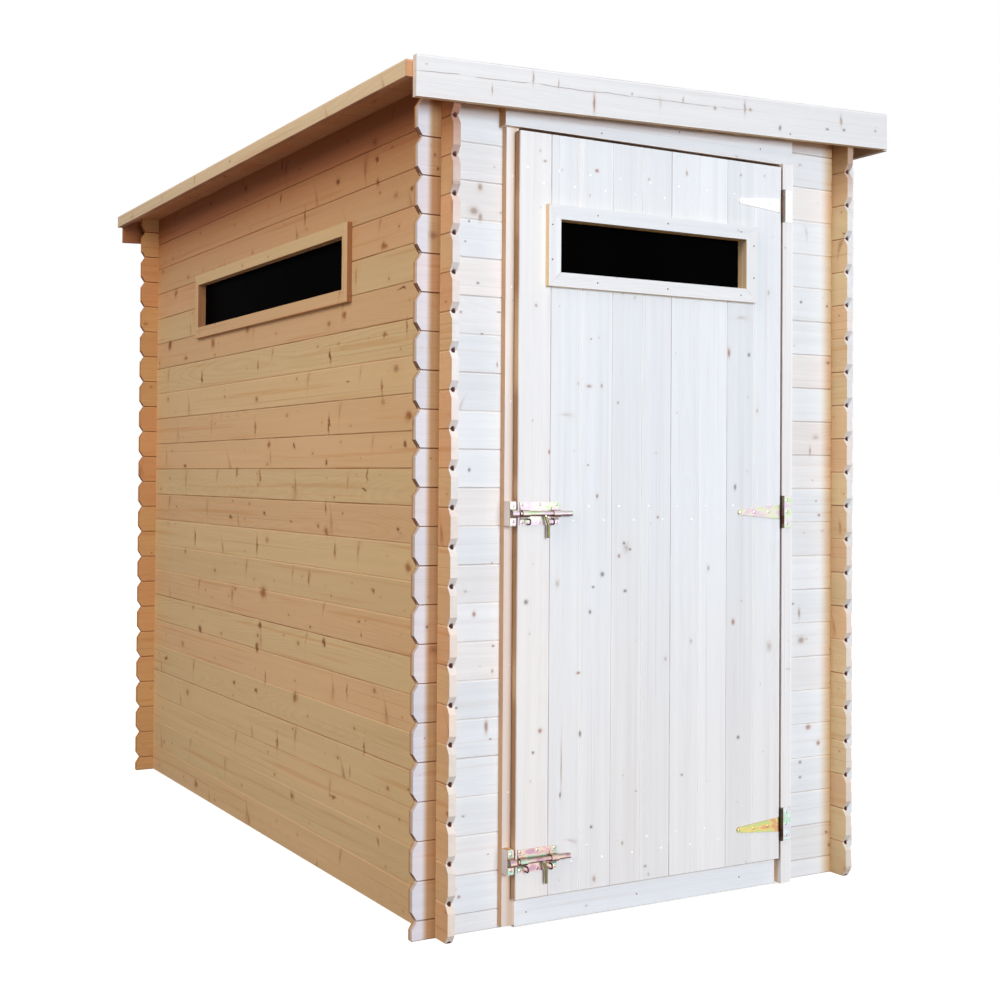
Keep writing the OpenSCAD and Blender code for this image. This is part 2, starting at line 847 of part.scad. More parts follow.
// A pressed bridge over the rod, seen along the rod: an arch on two feet
module bridge_outline(eye, foot) {
    outer = eye + bolt_plate;
    difference() {
        union() {
            translate([0, eye])
                circle(r = outer);
            translate([-outer, 0])
                square([2 * outer, eye]);
            translate([-foot, 0])
                square([2 * foot, bolt_plate]);
        }
        translate([0, eye])
            circle(r = eye);
        translate([-eye, -outer])
            square([2 * eye, outer + eye]);
        translate([-2 * outer, -2 * outer])
            square([4 * outer, 2 * outer]);
    }
}

// The bridge stands off a face that looks along -Y
module bridge(x, y, z, width, eye, foot) {
    translate([x, y, z])
        rotate([0, 90, 0])
            rotate([0, 0, 180])
                linear_extrude(height = width)
                    bridge_outline(eye, foot);
}

// Wooden blocks bring the keepers level with the bolts' plates
module keeper_blocks() {
    color(timber_colour)
        for (z = bolt_heights)
            translate([keeper_x0, keeper_back + fit_gap, z - bolt_plate_height / 2 - 2])
                cube([keeper_width, y_front - casing_thickness - keeper_back - 2 * fit_gap,
                    bolt_plate_height + 4]);
}

module bolt_keepers() {
    color(zinc_colour)
        for (z = bolt_heights)
            bridge(keeper_x0, keeper_back, z, keeper_width, keeper_eye_radius,
                bolt_plate_height / 2);
}

module bolt_plates() {
    color(zinc_colour)
        for (z = bolt_heights) {
            translate([bolt_plate_x0, plate_back - bolt_plate, z - bolt_plate_height / 2])
                cube([bolt_plate_length, bolt_plate, bolt_plate_height]);
            for (x = [guide_x0, guide_x1])
                bridge(x, plate_back - bolt_plate, z, guide_width, eye_radius,
                    eye_radius + 8);
            for (x = [guide_x0 + guide_width, guide_x1])
                translate([x, plate_back - bolt_plate, z - bolt_plate_height / 2 + staple_low])
                    staple();
        }
}

// A wire eye for a padlock, upright and square to the rod
module staple() {
    for (side = [-1, 1])
        translate([0, 1, side * staple_radius])
            rotate([90, 0, 0])
                cylinder(r = staple_wire, h = staple_stand + 1);
    translate([0, -staple_stand, 0])
        rotate([0, 90, 0])
            rotate_extrude(angle = -180)
                translate([staple_radius, 0])
                    circle(r = staple_wire);
}

// The rod and its bent lever are one piece
module bolt_rod(z) {
    bend = lever_length * 0.45;
    y = rod_y - lever_stand;
    slope = norm([lever_lean, -lever_stand, -bend]);
    color(zinc_colour) {
        translate([rod_tip, rod_y, z])
            rotate([0, 90, 0]) {
                cylinder(r1 = rod_radius - rod_point, r2 = rod_radius, h = rod_point);
                translate([0, 0, rod_point])
                    cylinder(r = rod_radius, h = rod_length - rod_point);
            }
        translate([lever_x, rod_y, z])
            rotate([0, acos(-bend / slope), atan2(-lever_stand, lever_lean)])
                cylinder(r = lever_radius, h = slope);
        translate([lever_x + lever_lean, y, z - bend])
            sphere(r = lever_radius);
        translate([lever_x + lever_lean, y, z - lever_length + lever_radius])
            cylinder(r = lever_radius, h = lever_length - lever_radius - bend);
        translate([lever_x + lever_lean, y, z - lever_length + lever_radius])
            sphere(r = lever_radius);
    }
}

module upper_bolt_rod() {
    bolt_rod(bolt_heights[1]);
}

module lower_bolt_rod() {
    bolt_rod(bolt_heights[0]);
}

left_wall_lower();
left_wall_before_window();
left_wall_behind_window();
left_wall_upper();
right_wall();
right_wall_top_rail();
rear_wall();
rear_wall_top_log();
front_sill_log();
front_wall_left();
front_wall_right();
front_wall_head_log();
front_wall_top_log();
roof_boards();
roof_purlins();
front_fascia();
rear_fascia();
eaves_strip();
verge_board();
floor_boards();
floor_bearers();
threshold_board();
door_lintel();
latch_casing();
hinge_casing();
keeper_blocks();
bolt_keepers();
hinge_leaves();
side_window_trim();
side_window_liner();
side_window_pane();
door_boards();
door_ledges();
hinge_straps();
door_window_trim();
door_window_inner_trim();
door_window_pane();
bolt_plates();
upper_bolt_rod();
lower_bolt_rod();
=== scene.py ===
# %% [markdown]
# # A small garden shed of notched logs
#
# The construction comes in as a fixed frame: every log, board, hinge and bolt is already there at
# its real size, in metres. This script adds what the eye looks for next: spruce with its grain,
# knots and board joints, yellow-plated steel, dark panes, nails and screws, a floor and some light.

# %% The tools and the frame
import json
import math
import random

import bpy
from mathutils import Euler, Matrix, Vector


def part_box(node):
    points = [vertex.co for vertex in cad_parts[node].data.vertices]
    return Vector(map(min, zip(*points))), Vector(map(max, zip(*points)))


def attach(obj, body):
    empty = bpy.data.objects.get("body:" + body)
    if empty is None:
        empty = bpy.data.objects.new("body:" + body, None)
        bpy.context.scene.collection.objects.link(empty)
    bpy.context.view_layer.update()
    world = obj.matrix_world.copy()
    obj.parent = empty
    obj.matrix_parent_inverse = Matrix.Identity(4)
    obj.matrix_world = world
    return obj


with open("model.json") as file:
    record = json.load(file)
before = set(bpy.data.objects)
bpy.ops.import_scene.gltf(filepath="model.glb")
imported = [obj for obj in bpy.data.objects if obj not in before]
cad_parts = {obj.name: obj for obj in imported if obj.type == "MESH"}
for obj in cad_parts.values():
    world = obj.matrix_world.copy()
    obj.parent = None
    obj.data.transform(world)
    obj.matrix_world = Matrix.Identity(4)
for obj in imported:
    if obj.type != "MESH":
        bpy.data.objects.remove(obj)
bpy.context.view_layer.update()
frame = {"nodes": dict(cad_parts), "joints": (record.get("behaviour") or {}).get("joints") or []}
nodes = frame["nodes"]
random.seed(20)

# %% [markdown]
# ## Sizes that the finishes share
#
# A pattern that ignores the boards looks like wallpaper. So the finishes take the same pitches as
# the carpentry: each log adds 90 mm to a wall, and the end walls start half a log higher. The
# covers of the door, roof and floor boards come from the boxes of those pieces.

# %% Pitches and covers
LOG_PITCH = 0.090
HALF_LOG = LOG_PITCH / 2
DOOR_BOARDS = 9
ROOF_BOARDS = 24
FLOOR_BOARDS = 13
X, Y, Z = 0, 1, 2


def low(node, axis):
    """Lowest coordinate of a piece of the frame along an axis."""
    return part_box(node)[0][axis]


def high(node, axis):
    """Highest coordinate of a piece of the frame along an axis."""
    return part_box(node)[1][axis]


def middle(node, axis):
    """Middle of a piece of the frame along an axis."""
    return (low(node, axis) + high(node, axis)) / 2


def span(node, axis):
    """Length of a piece of the frame along an axis."""
    return high(node, axis) - low(node, axis)


door_cover = span("door_boards", X) / DOOR_BOARDS
roof_cover = span("roof_boards", Y) / ROOF_BOARDS
floor_cover = span("floor_boards", X) / FLOOR_BOARDS
print("covers:", round(door_cover, 4), round(roof_cover, 4), round(floor_cover, 4))

# %% [markdown]
# ## Writing shaders in short lines
#
# A procedural finish is a graph of small nodes. Here a node's output is wrapped so that it can stand
# in a sum: a * b adds one Math node and links it. put() adds any other node to a graph, add() finds
# the graph by itself, and the functions after them name the nodes that wood needs most.

# %% Helpers for shader graphs


def signed(operation):
    """A method that adds one Math node of a kind."""
    def method(self, other=0.0):
        return maths(operation, self, other)
    return method


class Value:
    """An output of a node that can stand in a sum."""

    def __init__(self, socket):
        self.socket = socket

    def __rsub__(self, other):
        return maths("SUBTRACT", other, self)

    __add__ = signed("ADD")
    __sub__ = signed("SUBTRACT")
    __mul__ = signed("MULTIPLY")
    __truediv__ = signed("DIVIDE")
    __pow__ = signed("POWER")
    __lt__ = signed("LESS_THAN")
    __gt__ = signed("GREATER_THAN")
    __abs__ = signed("ABSOLUTE")


class Outputs:
    """The outputs of a node as values, by name or number."""

    def __init__(self, node):
        self.sockets = node.outputs

    def __getitem__(self, key):
        return Value(self.sockets[key])


def put(tree, kind, inputs=None, **settings):
    """Adds a node, sets its properties, and fills or links its inputs. Returns its outputs."""
    made = tree.nodes.new(kind if kind.startswith("NodeGroup") else "ShaderNode" + kind)
    for key, value in settings.items():
        setattr(made, key, value)
    for key, value in (inputs or {}).items():
        if isinstance(value, Value):
            tree.links.new(value.socket, made.inputs[key])
        else:
            made.inputs[key].default_value = value
    return Outputs(made)


def add(kind, inputs, **settings):
    """Adds a node to the graph that its linked inputs come from."""
    tree = next(value.socket.id_data for value in inputs.values() if isinstance(value, Value))
    return put(tree, kind, inputs, **settings)


def maths(operation, a, b=0.0, c=0.0):
    """One Math node."""
    return add("Math", {0: a, 1: b, 2: c}, operation=operation)[0]


def muladd(a, b, c):
    """a times b, plus c."""
    return maths("MULTIPLY_ADD", a, b, c)


def between(value, start, end):
    """A value from 0 to 1 spread over a range."""
    return maths("MULTIPLY_ADD", value, end - start, start)


def nudged(value, chance, amount):
    """A value moved up or down by at most half an amount, by a chance from 0 to 1."""
    return maths("MULTIPLY_ADD", chance - 0.5, amount, value)


def larger(a, b):
    """The larger of two values."""
    return maths("MAXIMUM", a, b)


def smooth(value, start, end, to_start=0.0, to_end=1.0):
    """A soft step from one value to another."""
    return add("MapRange", {0: value, 1: start, 2: end, 3: to_start, 4: to_end},
               interpolation_type="SMOOTHSTEP")[0]


def vector(x=0.0, y=0.0, z=0.0):
    """Three values as one vector."""
    return add("CombineXYZ", {0: x, 1: y, 2: z})[0]


def split(value):
    """One vector as three values."""
    return add("SeparateXYZ", {0: value})


def length(value):
    """How long a vector is."""
    return add("VectorMath", {0: value}, operation="LENGTH")["Value"]


def stretched(value, factors):
    """A vector with its parts multiplied one by one."""
    return add("VectorMath", {0: value, 1: factors}, operation="MULTIPLY")[0]


def mix(factor, a, b, blend="MIX"):
    """Mixes two colours."""
    return add("Mix", {0: factor, 6: a, 7: b}, data_type="RGBA", blend_type=blend)[2]


def tinted(colour, tint, amount=1.0):
    """A colour multiplied by a tint, fully or in part."""
    return mix(amount, colour, tint, "MULTIPLY")


def noise(place, detail=2.0, rough=0.5):
    """Soft noise from 0 to 1, at the scale of its coordinates."""
    return add("TexNoise", {"Vector": place, "Scale": 1.0, "Detail": detail, "Roughness": rough})


def random_of(x, y=0.0, z=0.0):
    """Three random values and one more that depend only on whole numbers."""
    made = add("TexWhiteNoise", {0: vector(x, y, z)}, noise_dimensions="3D")
    return (*split(made["Color"]), made["Value"])


def empty_material(name):
    """A new material and its empty graph."""
    material = bpy.data.materials.new(name)
    material.use_nodes = True
    material.node_tree.nodes.clear()
    return material, material.node_tree


def surface(tree, inputs, bump=None):
    """Ends a graph with a Principled shader; bump is its strength, distance and height."""
    if bump:
        relief = put(tree, "Bump", dict(zip(("Strength", "Distance", "Height"), bump)))
        inputs["Normal"] = relief[0]
    put(tree, "OutputMaterial", {0: put(tree, "BsdfPrincipled", inputs)[0]})


print("helpers ready")

# %% [markdown]
# ## Spruce as a solid
#
# Grain could be painted on each face, but then the faces disagree at every edge. Here the wood is a
# solid: growth rings are tubes round a pith that runs beside the board, so a wide face shows long
# arches, an edge shows straight lines, and a log's end shows arcs. Each board has its own pith, its
# own tint and its own knots. A knot that the saw cut across is a spot, and one that it cut along is
# a thin spike that runs right across the board.

# %% Knots
KNOT_LAYERS = (
    # length of a cell, smallest and largest knot, whether it is a spike, share of cells that hold
    # one in honey wood and in wood with painted front light, strength of its body and its heart
    (0.31, (0.0036, 0.0110), False, 0.45, 0.15, 1.0, 1.0),
    (0.17, (0.0015, 0.0042), False, 0.55, 0.35, 1.0, 1.0),
    (0.34, (0.0045, 0.0095), True, 0.42, 0.05, 0.55, 0.75),
)
SPOT_LENGTH = 1.5
SPIKE_LENGTH = 4.6


def knots(along, across, board, lit_amount, layer, cell, sizes, spike, share, lit_share):
    """Distance to the nearest knot in knot sizes, its size, whether it is there, and its darkness."""
    place = along / cell + board * 0.37
    r = random_of(maths("FLOOR", place), board * 1.7, layer)
    along_off = (maths("FRACT", place) - between(r[0], 0.25, 0.75)) * cell
    across_off = across - between(r[1], -0.035, 0.035)
    size = between(r[2] ** 2.0, *sizes)
    if spike:
        lean = r[1] - 0.5
        side = maths("SIGN", lean)
        along_off = muladd(across_off, lean, along_off)
        along_off = muladd(across_off * across_off * 4.0, side, along_off)
        wedge = larger(across_off * side * 30.0 + 1.0, 0.35)
        shape = vector(along_off / wedge, across_off / SPIKE_LENGTH)
    else:
        shape = vector(along_off / SPOT_LENGTH, across_off)
    there = r[3] < between(lit_amount, share, lit_share)
    return length(shape) / size, size, there, between(r[0], 0.35, 1.0)


def all_knots(along, across, board, lit_amount, radius):
    """The ring radius bent round the knots, their stain, their bodies and their hearts."""
    ragged = noise(vector(along * 160.0, across * 160.0, board), 1.0)["Fac"]
    stain = 0.0
    bodies = 0.0
    hearts = 0.0
    for layer, (*shape, body, heart) in enumerate(KNOT_LAYERS, 1):
        distance, size, there, dark = knots(along, across, board, lit_amount, layer, *shape)
        there = there * dark
        halo = maths("EXPONENT", distance ** 2.0 * -0.14) * there
        radius = muladd(halo * size, 1.3, radius)
        stain = larger(stain, halo)
        wobble = muladd(ragged, 0.9, distance)
        bodies = larger(bodies, smooth(wobble, 1.8, 1.2, 0.0, body) * there)
        hearts = larger(hearts, smooth(wobble, 1.25, 0.55, 0.0, heart) * there)
    return radius, stain, bodies, hearts


print("knot layers:", len(KNOT_LAYERS))

# %% Rings and joints
PITH_ACROSS = (-0.08, 0.08)
PITH_DEPTH = (0.03, 0.10)
RING_SPACING = (0.0024, 0.0056)
GROOVE = (0.0024, 0.0009)
SEAM = (0.0014, 0.0005)


def from_pith(along, across, depth, board, r, wander):
    """Distance from the pith of a board, which wanders slowly along it."""
    pith_across = nudged(between(r[0], *PITH_ACROSS), wander[0], 0.11)
    pith_depth = nudged(between(r[1], *PITH_DEPTH), wander[1], 0.09)
    uneven = noise(vector(along * 3.0, across * 26.0, muladd(depth, 26.0, board)), 2.0)["Fac"]
    return muladd(uneven, 0.008, length(vector(across - pith_across, depth - pith_depth)))


def rings(radius, spacing, strength, tone):
    """Slow pale early wood, then a narrow dark late band."""
    phase = maths("FRACT", radius / between(spacing, *RING_SPACING))
    late = smooth(phase, 0.25, 0.85) * smooth(phase, 1.0, 0.86)
    return mix(late * between(strength, 0.08, 0.32), tone["early"], tone["late"])


def joints(colour, given, tone, wander):
    """The lines of a joint, dark where it opens, with painted highlight over the groove and on its lip, and
    a seam within some boards.
    """
    across = given["Across"]
    half = given["Width"] * 0.5
    which = random_of(given["Board"] + (across > 0.0), 29.0)
    opened = smooth(noise(vector(given["Along"] * 4.0, given["Board"]), 2.0)["Fac"], 0.35, 0.60, 0.45, 1.0)
    opened = opened * smooth(which[0], 0.10, 0.80, 0.08, 0.95) * given["Line"]
    groove = smooth(half - abs(across), *GROOVE)
    # painted highlight over the groove, before the dark of the joint
    colour = mix(groove * 0.75, colour, tone["lip"])
    colour = mix(groove * opened, colour, tone["joint"])
    within = (which[2] - 0.5) * (half * 1.2)
    seam = smooth(abs(across - within), *SEAM) * smooth(wander, 0.50, 0.62, 0.0, 0.40)
    colour = mix(seam * given["Line"], colour, tone["joint"])
    # painted highlight on the lip beside each joint
    inward = half - across
    lip = smooth(inward, 0.0012, 0.0022) * smooth(inward, 0.0046, 0.0032)
    return mix(lip * between(which[1], 0.1, 0.7), colour, tone["lip"])


print("rings and joints ready")

# %% Colours of spruce
HONEY = {
    "early": (0.735, 0.575, 0.37, 1), "late": (0.62, 0.40, 0.215, 1), "knot": (0.36, 0.175, 0.08, 1),
    "core": (0.10, 0.040, 0.016, 1), "joint": (0.40, 0.225, 0.11, 1), "lip": (0.92, 0.71, 0.48, 1),
    "end": (0.86, 0.68, 0.48, 1), "cool": (1.0, 1.02, 1.0, 1), "warm": (1.01, 0.915, 0.895, 1),
    "resin": (0.88, 0.70, 0.56, 1),
}
# the same spruce painted near white: painted light for faces that look towards the key lamp at the door end
LIT_TONES = {
    "early": (0.82, 0.825, 0.86, 1), "late": (0.77, 0.75, 0.765, 1), "knot": (0.60, 0.53, 0.51, 1),
    "core": (0.22, 0.15, 0.13, 1), "joint": (0.58, 0.55, 0.61, 1), "lip": (0.97, 0.97, 0.99, 1),
    "end": (1.0, 0.945, 0.92, 1), "cool": (0.965, 1.0, 1.035, 1), "warm": (1.0, 0.965, 0.95, 1),
    "resin": (0.94, 0.89, 0.87, 1),
}
# painted shade: SHADED under the eaves, in corners, under the roof and over the rear wall; SHADOW_TONE for
# painted shadows and the deepest shade; NOTCH_SHADE on the faces that look down at the notches
SHADED = (0.75, 0.49, 0.40, 1)
SHADOW_TONE = (0.56, 0.40, 0.27, 1)
NOTCH_SHADE = (0.33, 0.19, 0.12, 1)
print("honey and bleached spruce:", len(HONEY), "colours each")

# %% The solid wood
FIBRE_ALONG = 14.0
FIBRE_ACROSS = 600.0
INPUTS = ("Along", "Across", "Depth", "Board", "Width", "End", "PaintedLight", "Shade", "PaintedShadow", "NotchShade",
          "Line", "Warmth")


def fibres(along, across, depth, rough):
    """Fine lines along the board."""
    return noise(vector(along * FIBRE_ALONG, across * FIBRE_ACROSS, depth * FIBRE_ACROSS), 1.0, rough)["Fac"]


def spruce_group():
    """A node group that gives spruce its colour and relief at a place inside a board."""
    tree = bpy.data.node_groups.new("solid_spruce", "ShaderNodeTree")
    for name in INPUTS:
        tree.interface.new_socket(name, in_out="INPUT", socket_type="NodeSocketFloat")
    tree.interface.new_socket("Colour", in_out="OUTPUT", socket_type="NodeSocketColor")
    tree.interface.new_socket("Fibre", in_out="OUTPUT", socket_type="NodeSocketFloat")
    given = put(tree, "NodeGroupInput")
    along, across, depth, board = (given[key] for key in ("Along", "Across", "Depth", "Board"))
    tone = {key: mix(given["PaintedLight"], HONEY[key], LIT_TONES[key]) for key in HONEY}
    r = random_of(board, 11.0)
    first = random_of(board, 3.0)
    wander = split(noise(vector(along * 0.9, board), 1.0)["Color"])
    radius = from_pith(along, across, depth, board, r, wander)
    radius, stain, bodies, hearts = all_knots(along, across, board, given["PaintedLight"], radius)
    colour = rings(radius, r[2], first[2], tone)

    # fibres, broad tints and the odd resin streak
    fibre = fibres(along, across, depth, 0.6)
    bands = split(noise(vector(muladd(along, 1.3, board), across * 60.0, depth * 40.0), 2.0)["Color"])
    shade = nudged(nudged(nudged(1.0, fibre, 0.10), bands[0], 0.16), r[3], 0.09)
    colour = tinted(colour, vector(shade, shade, shade))
    warmth = smooth(first[1], 0.35, 0.95) + given["Warmth"]
    colour = tinted(colour, mix(warmth, tone["cool"], tone["warm"]))
    streak = smooth(bands[1], 0.56, 0.74)
    colour = tinted(colour, tone["resin"], larger(streak * 0.60, stain * 0.55))

    # knots, end grain, and joints with painted highlights
    colour = mix(bodies * 0.85, colour, tone["knot"])
    colour = mix(hearts * 0.80, colour, tone["core"])
    colour = tinted(colour, tone["end"], given["End"])
    colour = joints(colour, given, tone, wander[2])

    # painted shade and painted shadows, and painted shade on the faces that look down at the notches
    for darker, where in ((SHADED, "Shade"), (SHADOW_TONE, "PaintedShadow"), (NOTCH_SHADE, "NotchShade")):
        colour = tinted(colour, darker, given[where])
    put(tree, "NodeGroupOutput", {"Colour": colour, "Fibre": fibre})
    return tree


solid_spruce = spruce_group()
print("solid_spruce:", len(solid_spruce.nodes), "nodes")

# %% [markdown]
# ## Painted light at the door end
#
# The faces at the door end that look towards the key lamp are painted almost white, as painted
# light, while edges, side walls and everything inside keep the honey colour of the wood. Under the
# fascia and beside the crossing logs, painted shadows take the place of that light. The finish asks
# which way a face looks, and how near it is to those places.

# %% Where a finish changes
FACE_LIMIT = (-0.25, -0.75)
FASCIA_BOARD = 0.095
ROOF_SLOPE = (span("front_fascia", Z) - FASCIA_BOARD) / span("front_fascia", X)
ABOVE_SLOPE = 3
FAR = 10.0
EVERYWHERE = (Z, -2.0, -1.0)
WHOLE_END = (FAR, FAR + 1.0)


def step(place, normal, axis, start, full, amount, facing):
    """A soft step along an axis; facing keeps it to the faces that look along another axis."""
    value = smooth(place[axis], start, full, 0.0, amount)
    return value if facing is None else value * abs(normal[facing])


def painted_light_and_shadow(place, normal, shelters, ends, base):
    """How much painted front light and painted shadow a point gets; shelters are (axis, start, full, end,
    depth) of bands.
    """
    if shelters is None:
        return base, 0.0
    shadowed = 0.0
    amount = smooth(normal[Y], *FACE_LIMIT)
    if ends:
        side = smooth(normal[X], *FACE_LIMIT) * smooth(place[Y], ends[1], ends[0])
        amount = larger(amount, side)
    for axis, start, full, end, depth in shelters:
        band = smooth(place[axis], start, full) * (place[axis] < end)
        amount = amount * (1.0 - band)
        shadowed = larger(shadowed, band * depth)
    return larger(amount, base), shadowed


print("roof slope:", round(math.degrees(math.atan(ROOF_SLOPE)), 2), "degrees")

# %% Marks on wood
HOLE = (0.0058, 0.0062)
HOLE_SHADE_COLOUR = (0.060, 0.012, 0.007, 1)
CRACK_COLOUR = (0.22, 0.14, 0.12, 1)
MM = 1000


def notch_hole_shade(place, normal, across, middle_x, colour):
    """Painted shade: a dark spot for the hole that the tongue of a log leaves at the bottom of each notch.
    """
    away = length(vector((place[X] - middle_x) / HOLE[0], (LOG_PITCH / 2 - abs(across)) / HOLE[1]))
    amount = smooth(away, 1.15, 0.75) * (normal[Y] < -0.3)
    return mix(amount, colour, HOLE_SHADE_COLOUR)


def knot_chart(name, spots):
    """A node group with the distance to the nearest of some knots, counted in their own sizes."""
    tree = bpy.data.node_groups.new(name, "ShaderNodeTree")
    tree.interface.new_socket("Here", in_out="INPUT", socket_type="NodeSocketVector")
    tree.interface.new_socket("Nearest", in_out="OUTPUT", socket_type="NodeSocketFloat")
    here = put(tree, "NodeGroupInput")["Here"]
    nearest = 9.0
    for along, up, half_width, half_height in spots:
        scale = (MM / half_width, MM / half_height, 0)
        centre = (-along / half_width, -up / half_height, 0)
        moved = add("VectorMath", {0: here, 1: scale, 2: centre}, operation="MULTIPLY_ADD")[0]
        nearest = maths("MINIMUM", nearest, length(moved))
    put(tree, "NodeGroupOutput", {"Nearest": nearest})
    return tree


def big_knots(place, axis, tone, chart, ragged, colour):
    """Darkens the wood at the knots of a chart, most in their hearts; their outlines are uneven."""
    flat = vector(place[axis], place[Z])
    warp = noise(stretched(flat, (45, 45, 0)), 2.0)["Color"]
    here = add("VectorMath", {0: warp, 1: (ragged, ragged * 0.7, 0), 2: flat}, operation="MULTIPLY_ADD")[0]
    here = add("VectorMath", {0: here, 1: (ragged / 2, ragged * 0.35, 0)}, operation="SUBTRACT")[0]
    nearest = add("Group", {"Here": here}, node_tree=chart)["Nearest"]
    body = tinted(colour, KNOT_TONES[tone])
    heart = tinted(body, KNOT_HEART)
    colour = mix(smooth(nearest, 2.0, 0.9, 0.0, 0.30), colour, body)
    colour = mix(smooth(nearest, 1.15, 0.70), colour, body)
    return mix(smooth(nearest, 0.75, 0.35, 0.0, 0.8), colour, heart)


def pith_crack(along, across, crack, colour):
    """The thin wavering crack that opens where a board was sawn through its pith."""
    level, start, end = crack
    waver = noise(vector(along * 6.0), 3.0)["Fac"]
    breaks = noise(vector(along * 13.0, 5.0), 1.0)["Fac"]
    away = abs(across - nudged(level, waver, 0.016))
    amount = smooth(away, 0.0012, 0.0004) * smooth(breaks, 0.36, 0.52, 0.15, 0.75)
    return mix(amount * smooth(along, end, start), colour, CRACK_COLOUR)


print("marks ready")

# %% Finish for wood


def finish_wood(name, coordinates, shelters=(), ends=None, base=0.0, shades=(), deep=None, notch=None,
                dots=None, crack=None, line=1.0, warmth=None, marks=(), casts=()):
    """A wood material; coordinates(place, normal) gives the first six inputs of solid_spruce.

    shades and deep are painted shade, casts are tints that are mostly painted light or shade; each is a
    step: axis, start, full, amount or tint, and the facing or None.
    """
    material, tree = empty_material(name)
    source = put(tree, "TexCoord")
    place = list(split(source["Object"]))
    place.append(muladd(place[X], -ROOF_SLOPE, place[Z]))
    normal = split(source["Normal"])
    given = dict(zip(INPUTS, coordinates(place, normal)))
    given["PaintedLight"], given["PaintedShadow"] = painted_light_and_shadow(place, normal, shelters, ends, base)
    given["Line"] = line
    for shade in shades:
        given["Shade"] = larger(step(place, normal, *shade), given.get("Shade", 0.0))
    if deep:
        given["PaintedShadow"] = larger(step(place, normal, *deep), given["PaintedShadow"])
    if warmth:
        given["Warmth"] = smooth(place[Z], *warmth)
    if notch:
        axis, limit, beyond, within = notch
        # painted shade on the faces that look down at the notches, stronger beyond a limit
        underside_shade = smooth(abs(place[axis]), limit, limit + 0.001, within, beyond)
        given["NotchShade"] = smooth(normal[Z], -0.25, -0.55) * underside_shade
    wood = put(tree, "Group", given, node_tree=solid_spruce)
    colour = wood["Colour"]
    if dots:
        colour = notch_hole_shade(place, normal, given["Across"], dots, colour)
    if crack:
        colour = pith_crack(given["Along"], given["Across"], crack, colour)
    for axis, tone, chart, ragged in marks:
        colour = big_knots(place, axis, tone, chart, ragged, colour)
    # tints, most of them painted light or shade
    for axis, start, full, tint, facing in casts:
        colour = tinted(colour, tint, step(place, normal, axis, start, full, 1.0, facing))
    surface(tree, {"Base Color": colour, "Roughness": muladd(wood["Fibre"], 0.15, 0.58),
                   "Specular IOR Level": 0.25},
            bump=(0.30, 0.0005, fibres(given["Along"], given["Across"], given["Depth"], 0.5)))
    return material


print("wood finish ready")

# %% [markdown]
# ## Boards in rows
#
# Most pieces are rows of like boards: logs in a wall, boards on the roof. The board's number comes
# from where a point lies across the row, and so do its place within the board and its random tint.

# %% Coordinates for a row of boards
SEED_STEP = 19.0


def rows(along, across, depth, pitch, start, face, seed, slope=0.0, lean=0.0):
    """Coordinates for boards that run along one axis and repeat along another."""
    def coordinates(place, normal):
        steps = (muladd(place[along], -lean, place[across]) - start) / pitch
        across_place = (maths("FRACT", steps) - 0.5) * pitch
        deep = muladd(place[along], -slope, place[depth] - face)
        board = maths("FLOOR", steps) + seed * SEED_STEP
        end = smooth(abs(normal[along]), 0.3, 0.8)
        return place[along], across_place, deep, board, pitch, end
    return coordinates


def wear(node, material):
    """Gives a piece of the frame its finish."""
    piece = nodes[node]
    if not piece.material_slots:
        piece.data.materials.append(material)
    for slot in piece.material_slots:
        slot.material = material


def dress(node, coordinates, **options):
    """Gives a piece of the frame a wood finish of its own."""
    wear(node, finish_wood("spruce_" + node, coordinates, **options))


print("rows ready")

# %% [markdown]
# ## The larger knots
#
# The eye goes to the larger knots first, so they are set out one by one instead of at random. Each
# is a place along the wall and a height, then half its width and half its height, all in
# millimetres. Noise makes the outlines uneven.

